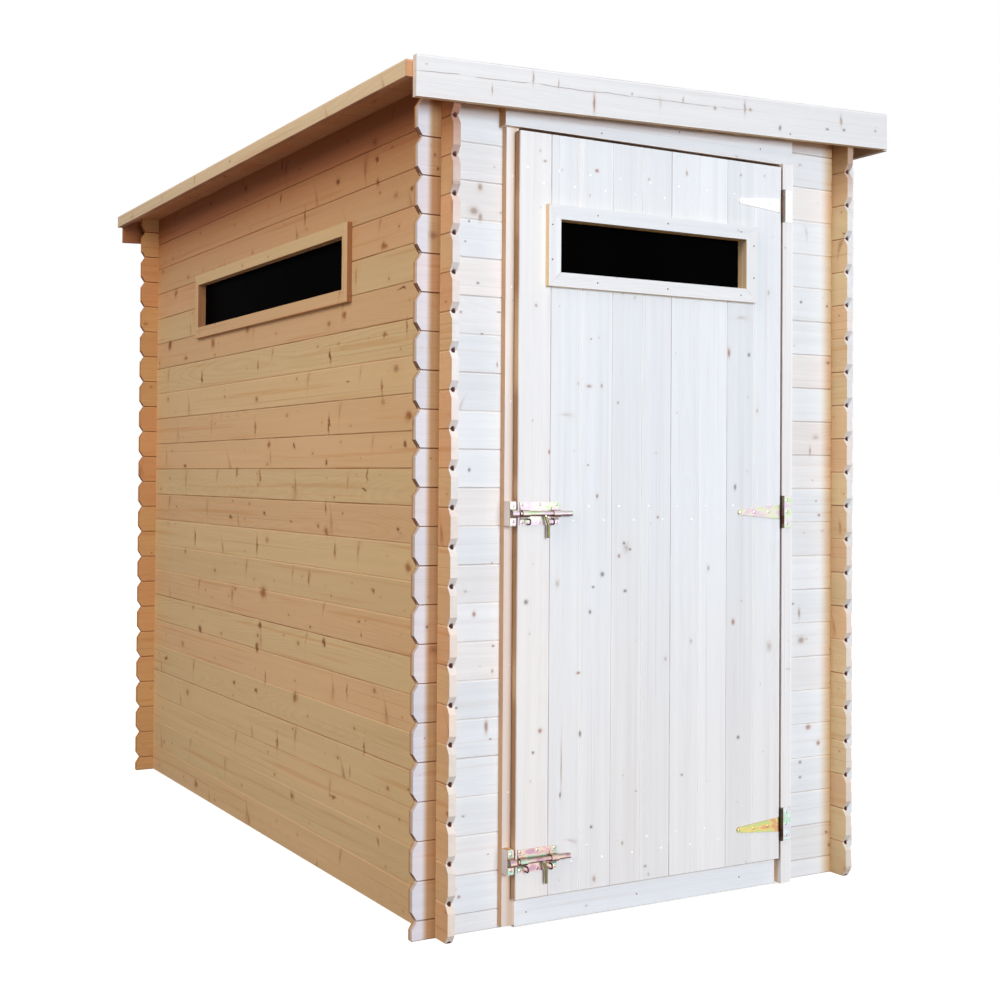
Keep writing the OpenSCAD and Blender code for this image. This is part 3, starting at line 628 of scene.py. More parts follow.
# %% Places of the larger knots
KNOT_TONES = {
    "dark": (0.44, 0.28, 0.19, 1), "brown": (0.68, 0.50, 0.38, 1), "grey": (0.56, 0.54, 0.54, 1),
    "soft": (0.84, 0.78, 0.74, 1), "red": (0.74, 0.58, 0.54, 1),
}
KNOT_HEART = (0.60, 0.51, 0.47, 1)
LEFT_KNOTS = {
    "dark": (
        (-755, 1859, 9, 8), (-514, 1848, 11, 9), (185, 1945, 13, 8), (-112, 1965, 10, 12),
        (-952, 1755, 8, 6), (-903, 1519, 20, 3), (934, 1519, 17, 14), (583, 1382, 14, 17),
        (-471, 1383, 11, 16), (-590, 1309, 8, 3), (-468, 1200, 11, 24), (-223, 1144, 10, 7),
        (-451, 1098, 8, 7), (752, 1090, 16, 5), (-926, 1139, 8, 7), (-694, 1028, 12, 3), (290, 929, 14, 5),
        (5, 949, 10, 4), (-891, 932, 7, 4), (577, 550, 16, 10), (29, 614, 12, 9), (52, 546, 13, 12),
        (-448, 610, 12, 9), (941, 414, 16, 6), (248, 414, 11, 6), (57, 417, 11, 6), (-799, 191, 7, 4),
        (-414, 9, 7, 8),
    ),
    "brown": (
        (-106, 1869, 11, 12), (-762, 1802, 11, 10), (-288, 1786, 13, 23), (-800, 1635, 17, 8),
        (-560, 1485, 12, 11), (-931, 1424, 10, 19), (872, 1696, 15, 11), (378, 1724, 13, 16),
        (477, 1491, 18, 16), (754, 1460, 22, 5), (67, 1393, 12, 21), (-810, 1412, 14, 4),
        (-795, 1276, 10, 20), (87, 1206, 14, 21), (-946, 1206, 19, 10), (-30, 1153, 10, 9),
        (240, 1067, 12, 12), (41, 1058, 15, 18), (-711, 1063, 10, 15), (-206, 931, 10, 4),
        (-453, 974, 13, 16), (-455, 912, 12, 11), (638, 852, 12, 27), (61, 851, 12, 27),
        (-515, 866, 14, 19), (-341, 778, 16, 17), (-753, 772, 11, 6), (-947, 841, 16, 12),
        (7, 714, 24, 18), (-351, 644, 9, 5), (-671, 689, 9, 4), (-684, 655, 7, 8), (-16, 465, 10, 18),
        (-248, 438, 18, 13), (-600, 503, 11, 18), (-115, 290, 11, 26), (-707, 371, 10, 15),
        (-623, 298, 9, 13), (-233, 160, 13, 11), (601, 35, 18, 13), (105, 19, 11, 18), (-794, 152, 8, 10),
        (-517, 210, 20, 4),
    ),
}
DOOR_KNOTS = {
    "grey": (
        (269, 1381, 5, 5), (225, 1039, 4, 8), (-121, 901, 4, 4), (-103, 886, 4, 3), (-185, 827, 6, 6),
        (-211, 797, 4, 3), (-117, 784, 5, 4), (-401, 767, 6, 6), (-220, 737, 4, 5), (-379, 412, 4, 4),
        (-247, 446, 4, 7), (238, 399, 5, 5), (-213, 220, 4, 4), (-302, 305, 3, 7),
    ),
    "soft": (
        (-356, 1813, 6, 4), (66, 1830, 4, 8), (240, 1844, 4, 4), (-226, 1282, 9, 5), (-189, 1284, 4, 6),
        (-141, 1244, 4, 4), (-221, 1396, 4, 3), (-378, 1468, 4, 5), (-228, 1091, 4, 3), (-19, 964, 5, 4),
        (139, 834, 4, 8), (-204, 94, 6, 9), (-122, 171, 4, 6), (-300, 372, 2, 69), (-81, 293, 4, 2),
        (-53, 106, 6, 4), (59, 319, 5, 4),
    ),
    "red": (
        (-207, 1806, 6, 5), (203, 1383, 5, 12), (-339, 1121, 3, 6), (-201, 1016, 4, 6), (-136, 870, 4, 5),
        (220, 694, 6, 8), (-360, 462, 6, 6), (-253, 592, 6, 4),
    ),
}
FRONT_KNOTS = {
    "grey": (
        (-537, 1660, 3, 3), (-547, 1612, 3, 2), (-512, 1516, 4, 3), (-454, 1451, 6, 2), (-500, 1397, 4, 2),
        (-532, 1077, 4, 5), (-464, 663, 4, 3), (-562, 524, 4, 3), (-470, 445, 4, 2), (-628, 1805, 3, 4),
        (-620, 1773, 4, 5), (-640, 715, 4, 4), (484, 1536, 5, 4), (599, 520, 4, 4), (590, 73, 5, 5),
        (579, 109, 4, 4), (460, 728, 4, 3),
    ),
    "soft": (
        (-508, 1743, 8, 11), (-524, 1685, 14, 12), (-507, 1672, 7, 12), (-557, 1445, 4, 4),
        (-458, 1326, 3, 8), (-466, 604, 4, 6), (-541, 272, 5, 3), (-474, 176, 4, 2), (-468, 858, 3, 3),
        (-643, 461, 3, 3), (518, 1137, 4, 14), (540, 1002, 4, 3), (488, 630, 14, 11), (481, 703, 5, 16),
    ),
    "red": (
        (-516, 740, 5, 7), (-481, 474, 5, 16), (-551, 86, 4, 4), (577, 1531, 4, 4), (581, 1377, 7, 4),
        (551, 964, 5, 4), (514, 396, 9, 7), (550, 351, 7, 7), (486, 305, 5, 5), (486, 265, 5, 4),
    ),
}
FASCIA_KNOTS = {
    "grey": (
        (340, 1971, 4, 7), (374, 1960, 3, 3), (502, 1988, 6, 3), (562, 1993, 5, 4),
    ),
    "soft": (
        (-412, 1995, 3, 19), (-340, 1991, 2, 13), (-523, 1952, 2, 14), (26, 2002, 3, 10),
        (223, 2008, 4, 20), (240, 2005, 7, 5), (126, 1995, 6, 5), (551, 2016, 5, 16), (674, 2004, 5, 4),
        (-129, 1996, 3, 5),
    ),
    "red": ((-240, 1959, 4, 24),),
}


def charts(name, axis, knots_by_tone, ragged, slim=1.0):
    """The marks for a finish: one chart for each tone of knot; slim narrows the tall ones."""
    marks = []
    for tone, spots in knots_by_tone.items():
        shaped = [(along, up, wide * slim if tall > wide else wide, tall)
                  for along, up, wide, tall in spots]
        marks.append((axis, tone, knot_chart(name + "_" + tone, shaped), ragged))
    return marks


left_marks = charts("left_knots", Y, LEFT_KNOTS, 0.030, 0.5)
door_marks = charts("door_knots", X, DOOR_KNOTS, 0.004)
front_marks = charts("front_knots", X, FRONT_KNOTS, 0.004)
fascia_marks = charts("fascia_knots", X, FASCIA_KNOTS, 0.008)
print("larger knots:", sum(len(spots) for table in (LEFT_KNOTS, DOOR_KNOTS, FRONT_KNOTS, FASCIA_KNOTS)
                           for spots in table.values()))

# %% [markdown]
# ## Each piece gets its finish
#
# The walls come first. A side wall is honey coloured, with painted shade under the eaves. The end
# wall at the door is painted almost white as painted light, except for painted shadows near the
# crossing logs and under the fascia, and its log ends get painted light too. Casts are small shifts
# of tone, most of them painted light or shade, such as the cooler painted shade on those log ends.

# %% Side walls
SIDE_NODES = {
    "left_wall_lower": 1, "left_wall_before_window": 1, "left_wall_behind_window": 1, "left_wall_upper": 1,
    "right_wall": 2, "right_wall_top_rail": 2,
}
wall_top = high("left_wall_upper", Z)
front_end = low("front_sill_log", Y)
# painted shade on the side walls: under the eaves, deepest at the top, under the verge, and on the sides of
# the logs by the front corner; SIDE_NOTCH sets the painted shade at the notches
UNDER_EAVES = (Z, wall_top - 0.50, wall_top - 0.02, 1.0, None)
DEEP_EAVES = (Z, wall_top - 0.24, wall_top - 0.01, 0.95, None)
UNDER_VERGE = (Z, wall_top - 0.20, wall_top + 0.10, 0.6, None)
BY_CORNER = (Y, front_end + 0.004, front_end - 0.010, 0.45, X)
LOW_ENDS = (Z, 1.4, 0.3, (0.98, 0.90, 0.80, 1), Y)
SIDE_NOTCH = (Y, 1.10, 0.12, 0.0)
for name, seed in SIDE_NODES.items():
    on_left = "left" in name
    dress(name, rows(Y, Z, X, LOG_PITCH, 0.0, low(name, X), seed), deep=DEEP_EAVES, notch=SIDE_NOTCH,
          shades=(UNDER_EAVES, BY_CORNER) if on_left else (UNDER_VERGE,), dots=middle(name, X),
          casts=(LOW_ENDS,), marks=left_marks if on_left else ())
print("side walls:", len(SIDE_NODES), "nodes")

# %% End walls
left_face = low("left_wall_lower", X)
right_face = low("right_wall", X)
fascia_level = low("front_fascia", Z) - low("front_fascia", X) * ROOF_SLOPE
# painted shadows of the crossing logs and the fascia, where the painted front light gives way
SHADE_LEFT = (X, left_face - 0.038, left_face - 0.018, left_face + 0.012, 0.95)
SHADE_RIGHT = (X, right_face - 0.044, right_face + 0.004, right_face + 0.030, 0.65)
SHADE_TOP = (ABOVE_SLOPE, fascia_level - 0.004, fascia_level + 0.034, FAR, 0.10)
# painted front light also on the end faces of the logs near the front
LOG_ENDS = (front_end + 0.006, front_end + 0.016)
# casts: a cooler painted shade on the log ends, a warm tint for the painted shadow under the fascia, painted
# shade on faces that look sideways, and painted light on faces that look to the front and back
LOG_END_SHADE = (X, left_face + 0.004, left_face - 0.006, (0.80, 0.775, 0.83, 1), None)
FASCIA_SHADOW_TINT = (ABOVE_SLOPE, fascia_level - 0.022, fascia_level + 0.014, (1.22, 1.02, 0.94, 1), None)
SIDE_SHADE = (*EVERYWHERE, (0.88, 0.76, 0.70, 1), X)
FRONT_FACE_LIGHT = (*EVERYWHERE, (1.04, 1.04, 1.035, 1), Y)
REAR_CAST = (*EVERYWHERE, (1.06, 1.06, 0.88, 1), None)
# painted shade over the whole rear wall
REAR_SHADE = (*EVERYWHERE, 0.80, None)
END_NOTCH = (X, right_face, 1.0, 0.18)
ALL_SHADES = (SHADE_LEFT, SHADE_RIGHT, SHADE_TOP)
END_NODES = {
    "front_sill_log": (3, ALL_SHADES), "front_wall_left": (3, (SHADE_LEFT, SHADE_TOP)),
    "front_wall_right": (4, (SHADE_RIGHT, SHADE_TOP)), "front_wall_head_log": (5, ALL_SHADES),
    "front_wall_top_log": (5, ALL_SHADES), "rear_wall": (6, None), "rear_wall_top_log": (6, None),
}
for name, (seed, shelters) in END_NODES.items():
    in_front = shelters is not None
    dress(name, rows(X, Z, Y, LOG_PITCH, HALF_LOG, low(name, Y), seed), shelters=shelters, ends=LOG_ENDS,
          notch=END_NOTCH, line=0.75, shades=() if in_front else (REAR_SHADE,),
          marks=front_marks if in_front else (),
          casts=(LOG_END_SHADE, FASCIA_SHADOW_TINT, FRONT_FACE_LIGHT) if in_front else (REAR_CAST,))
print("end walls:", len(END_NODES), "nodes")

# %% Roof, floor and door boards
roof_face = low("roof_boards", Z) - low("roof_boards", X) * ROOF_SLOPE
# painted front light on the edge of the door next to its face
DOOR_EDGE = (low("door_boards", Y) - 0.0005, low("door_boards", Y) + 0.0055)
DOOR_WARMTH = (1.35, 0.25, -0.15, 0.60)
# painted shade under the left overhang of the roof, and painted light under the right one
ROOF_SHADE = (X, 0.55, -0.40, 1.0, None)
OVERHANG_LIGHT = (X, 0.58, 0.62, (1.36, 1.45, 1.70, 1), None)
ROWS = {
    "roof_boards": rows(X, Y, Z, roof_cover, low("roof_boards", Y), roof_face, 7, ROOF_SLOPE),
    "roof_purlins": rows(Y, X, Z, 0.4, low("roof_purlins", X) - 0.18, low("roof_purlins", Z), 8),
    "floor_boards": rows(Y, X, Z, floor_cover, low("floor_boards", X), low("floor_boards", Z), 9),
    "floor_bearers": rows(X, Y, Z, 0.5, low("floor_bearers", Y) - 0.2, 0.0, 10),
    "door_boards": rows(Z, X, Y, door_cover, low("door_boards", X), low("door_boards", Y), 11),
    "door_ledges": rows(X, Z, Y, 0.6, -0.14, low("door_ledges", Y), 12),
}
OPTIONS = {
    "roof_boards": {"shelters": None, "shades": (ROOF_SHADE,), "casts": (OVERHANG_LIGHT,)},
    "door_boards": {"line": 1.25, "warmth": DOOR_WARMTH, "marks": door_marks, "ends": DOOR_EDGE},
}
for name, coordinates in ROWS.items():
    dress(name, coordinates, **OPTIONS.get(name, {}))
print("rows of boards:", len(ROWS), "nodes")

# %% Single boards
casing_face = low("hinge_casing", Y)
# painted light under the lintel and on the sides of the keeper blocks; on the latch casing, painted shade on
# its sides, a tone darker towards the bottom, and a painted shadow beside the door; painted shade on the
# eaves strip's end and underside
LINTEL_UNDER_LIGHT = (*EVERYWHERE, (1.3, 1.4, 1.9, 1), Z)
LATCH_CASTS = (SIDE_SHADE, (Z, 1.7, 0.5, (0.90, 0.81, 0.75, 1), Y),
               (X, -0.442, -0.426, (0.88, 0.77, 0.66, 1), Y))
LIT_SIDES = (*EVERYWHERE, (1.17, 1.12, 1.05, 1), X)
EAVES_SHADES = ((Y, -1.156, -1.160, 0.8, None), (*EVERYWHERE, 1.0, Z))


def single(node, along, across, depth, seed, **options):
    """A finish for pieces that are one board each, numbered by their side of the shed."""
    dress(node, rows(along, across, depth, span(node, across), low(node, across), low(node, depth), seed),
          **options)


def fascia(node, seed, **options):
    """The finish of a fascia, which runs with the roof's slope."""
    level = low(node, Z) - low(node, X) * ROOF_SLOPE
    dress(node, rows(X, Z, Y, FASCIA_BOARD, level, low(node, Y), seed, 0.0, ROOF_SLOPE), **options)


# ends and base add painted front light: on the ends of the front fascia and the keeper blocks, the front
# strip of the hinge casing's side, and a little all over the eaves strip and the verge board
fascia("front_fascia", 13, ends=WHOLE_END, crack=(0.011, 0.05, 0.35), marks=fascia_marks)
# the rear fascia gets painted shade all over
fascia("rear_fascia", 14, shelters=None, shades=((*EVERYWHERE, 1.0, None),), deep=(*EVERYWHERE, 0.55, None))
single("eaves_strip", Y, Z, X, 15, base=0.22, shelters=None, shades=EAVES_SHADES)
single("verge_board", Y, Z, X, 16, base=0.22)
single("threshold_board", X, Z, Y, 17)
single("door_lintel", X, Z, Y, 18, shelters=(SHADE_TOP,), casts=(FASCIA_SHADOW_TINT, SIDE_SHADE, LINTEL_UNDER_LIGHT))
single("latch_casing", Z, X, Y, 19, warmth=(-2.0, -1.0, 0.0, 0.9), casts=LATCH_CASTS)
single("hinge_casing", Z, X, Y, 20, ends=(casing_face + 0.008, casing_face + 0.016))
single("keeper_blocks", Z, X, Y, 21, ends=WHOLE_END, casts=(LIT_SIDES,))
print("single boards done")

# %% [markdown]
# ## Mitred frames
#
# The trim round a window is four boards that meet on 45 degree joints. The grain has to turn the
# corner with them, so the shader asks on which side of the mitre a point lies.

# %% Coordinates for a mitred frame
TRIM_WIDTH = 0.034


def mitred(node, side, depth, board_width, seed):
    """Coordinates for four mitred boards in the plane of an axis, called side, and Z."""
    half_length = span(node, side) / 2
    half_height = span(node, Z) / 2

    def coordinates(place, normal):
        s = place[side] - middle(node, side)
        t = place[Z] - middle(node, Z)
        from_end = abs(s) - half_length
        from_top = abs(t) - half_height
        level = from_top > from_end

        def either(a, b):
            return add("Mix", {0: level, 2: b, 3: a}, data_type="FLOAT")[0]

        across = either(from_top, from_end) + board_width / 2
        board = muladd(level, 2.0, seed * SEED_STEP) + either(maths("SIGN", t), maths("SIGN", s))
        width = (abs(across) + abs(from_top - from_end)) * 2.0
        return either(s, t), across, place[depth] - low(node, depth), board, width, 0.0
    return coordinates


# the frames of the side wall get no painted front light, and painted shade that is deepest on their edges
EDGE_SHADES = ((*EVERYWHERE, 0.6, Y), (*EVERYWHERE, 0.8, Z))
for node, seed in (("door_window_trim", 22), ("door_window_inner_trim", 23)):
    dress(node, mitred(node, X, Y, TRIM_WIDTH, seed))
for node, seed in (("side_window_trim", 24), ("side_window_liner", 25)):
    dress(node, mitred(node, Y, X, TRIM_WIDTH, seed), shelters=None, shades=EDGE_SHADES,
          deep=(*EVERYWHERE, 0.75, Y))
print("frames done")

# %% [markdown]
# ## Steel and panes
#
# The fittings are zinc plated and passivated, which leaves a thin film that shifts from straw to
# pink and green. A metal with a slowly varying colour does that without any film in the shader.
# The colour is deeper towards the bottom of the door and paler, almost white, towards the top.
# Painted shade darkens the edges, the undersides of the rods, the staples and the hinge knuckles.

# %% Colours and places on the steel
PALE_FILM = ((0.72, 0.62, 0.73, 1), (0.76, 0.74, 0.72, 1), (0.63, 0.74, 0.48, 1))
STRAP_FILM = ((0.55, 0.30, 0.17, 1), (0.62, 0.52, 0.19, 1), (0.44, 0.52, 0.22, 1))
LEAF_FILM = ((0.54, 0.54, 0.62, 1), (0.58, 0.68, 0.70, 1), (0.42, 0.60, 0.50, 1))
BOLT_FILM = ((0.44, 0.28, 0.37, 1), (0.66, 0.50, 0.42, 1), (0.36, 0.54, 0.46, 1))
SHINE = (0.95, 0.95, 0.93, 1)
# painted shade: round the hinge pins, on edges that look down and on those that look sideways, and on the
# staples
PIN_SHADE = (0.030, 0.012, 0.006, 1)
LOWER_EDGE_SHADE = (0.075, 0.022, 0.016, 1)
UPPER_EDGE_SHADE = (0.40, 0.24, 0.15, 1)
STAPLE_SHADE = (0.035, 0.010, 0.016, 1)
OLIVE = (0.15, 0.135, 0.060, 1)
LEVER = (-0.3575, -0.3435)
BOLT_HEIGHTS = (0.162, 0.975)
HINGE_HEIGHTS = (0.162, 0.975, 1.777)
plate_face = high("bolt_plates", Y) - 0.002
hinge = [joint for joint in frame["joints"] if joint["name"] == "door_hinge"][0]
PIN = hinge["pos_m"]
print("hinge pin at", [round(value, 4) for value in PIN])

# %% Plated steel


def film(tree, patches, colours):
    """Patches of three colours."""
    ramp = tree.nodes.new("ShaderNodeValToRGB")
    tones = ramp.color_ramp.elements
    tones[0].position = 0.38
    tones[0].color = colours[0]
    tones[1].position = 0.62
    tones[1].color = colours[2]
    tones.new(0.5).color = colours[1]
    tree.links.new(patches.socket, ramp.inputs[0])
    return Value(ramp.outputs[0])


def plated_steel(name, deep_film):
    """Metal with patches of straw, pink and green, and painted shade on its edges, its staples and round the
    hinge pins.
    """
    material, tree = empty_material(name)
    source = put(tree, "TexCoord")
    place = split(source["Object"])
    normal = split(source["Normal"])
    patches = noise(vector(place[X] * 30.0, place[Y] * 60.0, place[Z] * 55.0), 2.0)["Fac"]
    white = smooth(place[Z], 1.30, 1.70)
    deep = smooth(place[Z], 1.30, 0.10)
    colour = mix(deep, film(tree, patches, PALE_FILM), film(tree, patches, deep_film))
    colour = mix(white, colour, SHINE)
    # painted shade and dark painted reflections on faces that turn away from the front and on those that
    # look down
    edge_shade = larger(smooth(normal[Y], -0.70, -0.40), smooth(normal[Z], -0.10, -0.45))
    edge_shade_colour = mix(smooth(normal[Z], -0.35, 0.30), LOWER_EDGE_SHADE, UPPER_EDGE_SHADE)
    colour = mix(edge_shade * muladd(white, -0.60, 0.92), colour, edge_shade_colour)

    # the staples and the levers stand in front of the plates and hang below the rods; the staples get
    # painted shade
    hanging = smooth(place[Y], plate_face - 0.0010, plate_face - 0.0025)
    for height in BOLT_HEIGHTS:
        below = height - place[Z]
        shaded_staple = smooth(below, 0.0085, 0.0105) * smooth(below, 0.034, 0.030) * hanging
        lever = (place[X] > LEVER[0]) * (place[X] < LEVER[1]) * hanging
        lever = lever * smooth(below, 0.004, 0.008) * smooth(below, 0.075, 0.070)
        colour = mix(shaded_staple * 0.9, colour, STAPLE_SHADE)
        colour = mix(lever, colour, OLIVE)
    # painted shade on the knuckles round the hinge pin
    pin = length(vector(place[X] - PIN[0], place[Y] - PIN[1]))
    colour = mix(smooth(pin, 0.0072, 0.0062) * 0.95, colour, PIN_SHADE)
    scratches = noise(stretched(source["Object"], (900, 900, 900)), 2.0)["Fac"]
    surface(tree, {"Base Color": colour, "Metallic": 1.0, "Roughness": muladd(scratches, 0.16, 0.22)},
            bump=(0.12, 0.0003, scratches))
    return material


strap_zinc = plated_steel("yellow_zinc_straps", STRAP_FILM)
leaf_zinc = plated_steel("yellow_zinc_leaves", LEAF_FILM)
zinc = plated_steel("yellow_zinc_bolts", BOLT_FILM)
wear("hinge_straps", strap_zinc)
wear("hinge_leaves", leaf_zinc)
for name in ("bolt_keepers", "bolt_plates", "upper_bolt_rod", "lower_bolt_rod"):
    wear(name, zinc)
print("steel done")

# %% Dark panes


def shaded_interior_pane():
    """A nearly black sheet, painted shade that stands for the dark inside of the shed, with a little
    waviness.
    """
    material, tree = empty_material("shaded_interior_pane")
    waves = noise(stretched(put(tree, "TexCoord")["Object"], (7, 7, 7)), 1.0)["Fac"]
    tint = mix(waves, (0.0008, 0.0008, 0.0010, 1), (0.0018, 0.0018, 0.0020, 1))
    surface(tree, {"Base Color": tint, "Roughness": muladd(waves, 0.06, 0.25), "IOR": 1.03,
                   "Specular IOR Level": 0.1})
    return material


pane = shaded_interior_pane()
for name in ("door_window_pane", "side_window_pane"):
    wear(name, pane)
print("panes done")

# %% [markdown]
# ## Screws
#
# The hinges and bolts are held by small cross-recess screws. One is modelled: a short cylinder
# whose top face is inset and lifted into a dome, with a cross cut out of it by two thin blocks.
# Copies of it, each turned by its own amount, are then joined into one piece per body.

# %% Helpers for modelling


def only(piece=None):
    """Selects one object and makes it the active one, or leaves nothing selected."""
    for o in bpy.context.selected_objects:
        o.select_set(False)
    if piece:
        piece.select_set(True)
        bpy.context.view_layer.objects.active = piece


def edit_top(piece):
    """Edit mode with only the faces selected that look straight up."""
    only(piece)
    bpy.ops.object.mode_set(mode="EDIT")
    bpy.ops.mesh.select_mode(type="FACE")
    bpy.ops.mesh.select_all(action="DESELECT")
    bpy.ops.object.mode_set(mode="OBJECT")
    for face in piece.data.polygons:
        face.select = face.normal.z > 0.9
    bpy.ops.object.mode_set(mode="EDIT")


def domed_head(name, radius, height, sides, dome):
    """A round head on the plane z = 0 with its top inset and lifted in two steps."""
    only()
    bpy.ops.mesh.primitive_cylinder_add(vertices=sides, radius=radius, depth=2 * height)
    head = bpy.context.object
    head.name = name
    edit_top(head)
    for rise in (0.7, 0.3):
        bpy.ops.mesh.inset(thickness=radius * 0.30)
        bpy.ops.transform.translate(value=(0, 0, dome * rise))
    bpy.ops.object.mode_set(mode="OBJECT")
    return head


def cut_slot(head, size):
    """Cuts a straight slot into a head."""
    only()
    bpy.ops.mesh.primitive_cube_add(size=1, location=(0, 0, size[2]))
    block = bpy.context.object
    block.scale = (size[0], size[1], size[2] * 2)
    only(head)
    bpy.ops.object.modifier_add(type="BOOLEAN")
    head.modifiers[-1].object = block
    head.modifiers[-1].operation = "DIFFERENCE"
    bpy.ops.object.modifier_apply(modifier=head.modifiers[-1].name)
    bpy.data.objects.remove(block)


UPRIGHT = Matrix.Rotation(math.pi / 2, 4, "X")


def set_out(name, master, spots, material, body):
    """Copies a master to each place, facing the front, and joins the copies into one piece on a body."""
    copies = []
    for spot in spots:
        copy = master.copy()
        copy.data = master.data.copy()
        bpy.context.collection.objects.link(copy)
        turn = Matrix.Rotation(random.uniform(0, math.pi), 4, "Z")
        copy.matrix_world = Matrix.Translation(spot) @ UPRIGHT @ turn
        copies.append(copy)
    only(copies[0])
    for copy in copies:
        copy.select_set(True)
    bpy.ops.object.join()
    piece = bpy.context.object
    piece.name = name
    bpy.ops.object.transform_apply(location=True, rotation=True, scale=True)
    piece.data.materials.clear()
    piece.data.materials.append(material)
    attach(piece, body)
    print(name, "-", len(spots), "copies,", len(piece.data.polygons), "faces")


print("modelling helpers ready")

# %% Screws of the hinges and bolts
SLOT_LENGTH = 0.0046
SLOT_WIDTH = 0.0009
SLOT_DEPTH = 0.0007
KNUCKLE = 0.010
KNUCKLE_GAP = 0.0003
STRAP = 0.0025
KEEPER = 0.002
STRAP_SCREWS = (0.2405, 0.287, 0.334)
PLATE_SCREWS = (-0.4145, -0.3665, -0.3185)

screw = domed_head("screw_master", radius=0.0036, height=0.0005, sides=16, dome=0.0007)
cut_slot(screw, (SLOT_LENGTH, SLOT_WIDTH, SLOT_DEPTH))
cut_slot(screw, (SLOT_WIDTH, SLOT_LENGTH, SLOT_DEPTH))
strap_face = low("hinge_straps", Y) + KNUCKLE + KNUCKLE_GAP - STRAP
keeper_face = high("bolt_keepers", Y) - KEEPER
keeper_middle = middle("bolt_keepers", X)
leaf_middle = (PIN[0] + 0.003 + high("hinge_leaves", X)) / 2

strap_spots = [(x, strap_face, z) for z in HINGE_HEIGHTS for x in STRAP_SCREWS]
leaf_spots = [(leaf_middle, strap_face, z + up) for z in HINGE_HEIGHTS for up in (-0.031, 0.0, 0.031)]
plate_spots = [(x, plate_face, z + up) for z in BOLT_HEIGHTS for up in (0.0215, -0.0215)
               for x in PLATE_SCREWS]
keeper_spots = [(keeper_middle, keeper_face, z + up) for z in BOLT_HEIGHTS for up in (-0.0185, 0.0185)]
set_out("hinge_strap_screws", screw, strap_spots, strap_zinc, "door")
set_out("hinge_leaf_screws", screw, leaf_spots, leaf_zinc, "shed")
set_out("bolt_plate_screws", screw, plate_spots, zinc, "door")
set_out("keeper_screws", screw, keeper_spots, zinc, "shed")
bpy.data.objects.remove(screw)

# %% [markdown]
# ## Nails
#
# Boards are nailed: the door boards to their ledges, the casings and trims to the logs. The heads
# are driven almost flush, so each is a thin disc with a low dome and few faces.

# %% Nail steel


def nail_steel(name, clean, rusty):
    """Wire-nail steel with patches of another tone."""
    material, tree = empty_material(name)
    spots = noise(stretched(put(tree, "TexCoord")["Object"], (130, 130, 130)), 3.0)["Fac"]
    colour = mix(smooth(spots, 0.48, 0.66), clean, rusty)
    surface(tree, {"Base Color": colour, "Metallic": 0.8, "Roughness": muladd(spots, 0.30, 0.30)},
            bump=(0.2, 0.0002, spots))
    return material


bright_steel = nail_steel("bright_nail_steel", (0.86, 0.86, 0.88, 1), (0.60, 0.58, 0.56, 1))
rusty_steel = nail_steel("rusty_nail_steel", (0.16, 0.12, 0.11, 1), (0.08, 0.045, 0.03, 1))
print(bright_steel.name, rusty_steel.name)

# %% Nails of the door
STRAPS_START = 0.228
PLATES_END = -0.305
PLATES_TOP = 1.2
NAIL_PAIR = ((-0.022, 0.017), (0.022, -0.017))
door_face = low("door_boards", Y)
door_centres = [low("door_boards", X) + (i + 0.5) * door_cover for i in range(DOOR_BOARDS)]
door_spots = []
for z in HINGE_HEIGHTS:
    for centre in door_centres:
        for side, up in NAIL_PAIR:
            x = centre + side
            on_plate = x < PLATES_END and z < PLATES_TOP
            if x < STRAPS_START and not on_plate:
                door_spots.append((x, door_face, z + up))
nail = domed_head("nail_master", radius=0.0021, height=0.0002, sides=10, dome=0.0002)
set_out("door_nails", nail, door_spots, bright_steel, "door")

# %% Nails of the trim, casings, lintel and threshold
trim = "door_window_trim"
trim_rows = (low(trim, Z) + 0.016, high(trim, Z) - 0.016)
trim_columns = (low(trim, X) + 0.010, high(trim, X) - 0.010)
trim_spots = [(x, low(trim, Y), z) for z in trim_rows for x in (-0.2126, -0.0028, 0.23)]
trim_spots += [(x, low(trim, Y), z) for x in trim_columns for z in (1.578, 1.661)]
set_out("trim_nails", nail, trim_spots, rusty_steel, "door")

CASING_NAILS = {"latch_casing": (0.32, 0.62, 1.24, 1.51, 1.774), "hinge_casing": (0.36, 0.66, 1.24, 1.56)}
casing_spots = [(middle(node, X), low(node, Y), z) for node, heights in CASING_NAILS.items()
                for z in heights]
set_out("casing_nails", nail, casing_spots, bright_steel, "shed")
LINTEL_NAILS = ((-0.184, -0.020), (0.053, 0.012), (0.316, 0.0))
lintel_spots = [(x, low("door_lintel", Y), middle("door_lintel", Z) + up) for x, up in LINTEL_NAILS]
lintel_spots += [(x, low("threshold_board", Y), 0.033) for x in (-0.380, -0.06, 0.263)]
set_out("lintel_and_threshold_nails", nail, lintel_spots, rusty_steel, "shed")
bpy.data.objects.remove(nail)

# %% [markdown]
# ## Floor and light
#
# A pale floor and a white surround show the shape plainly. The camera sees the surround as white,
# while the wood is lit by a large soft lamp from the door side, warmer ones from the left and from
# behind, and a low even glow, so that the eaves stay dark.

# %% Floor
FLOOR_NEAR = 2.5
FLOOR_FAR = 7.0
GLOW_NEAR = 0.74


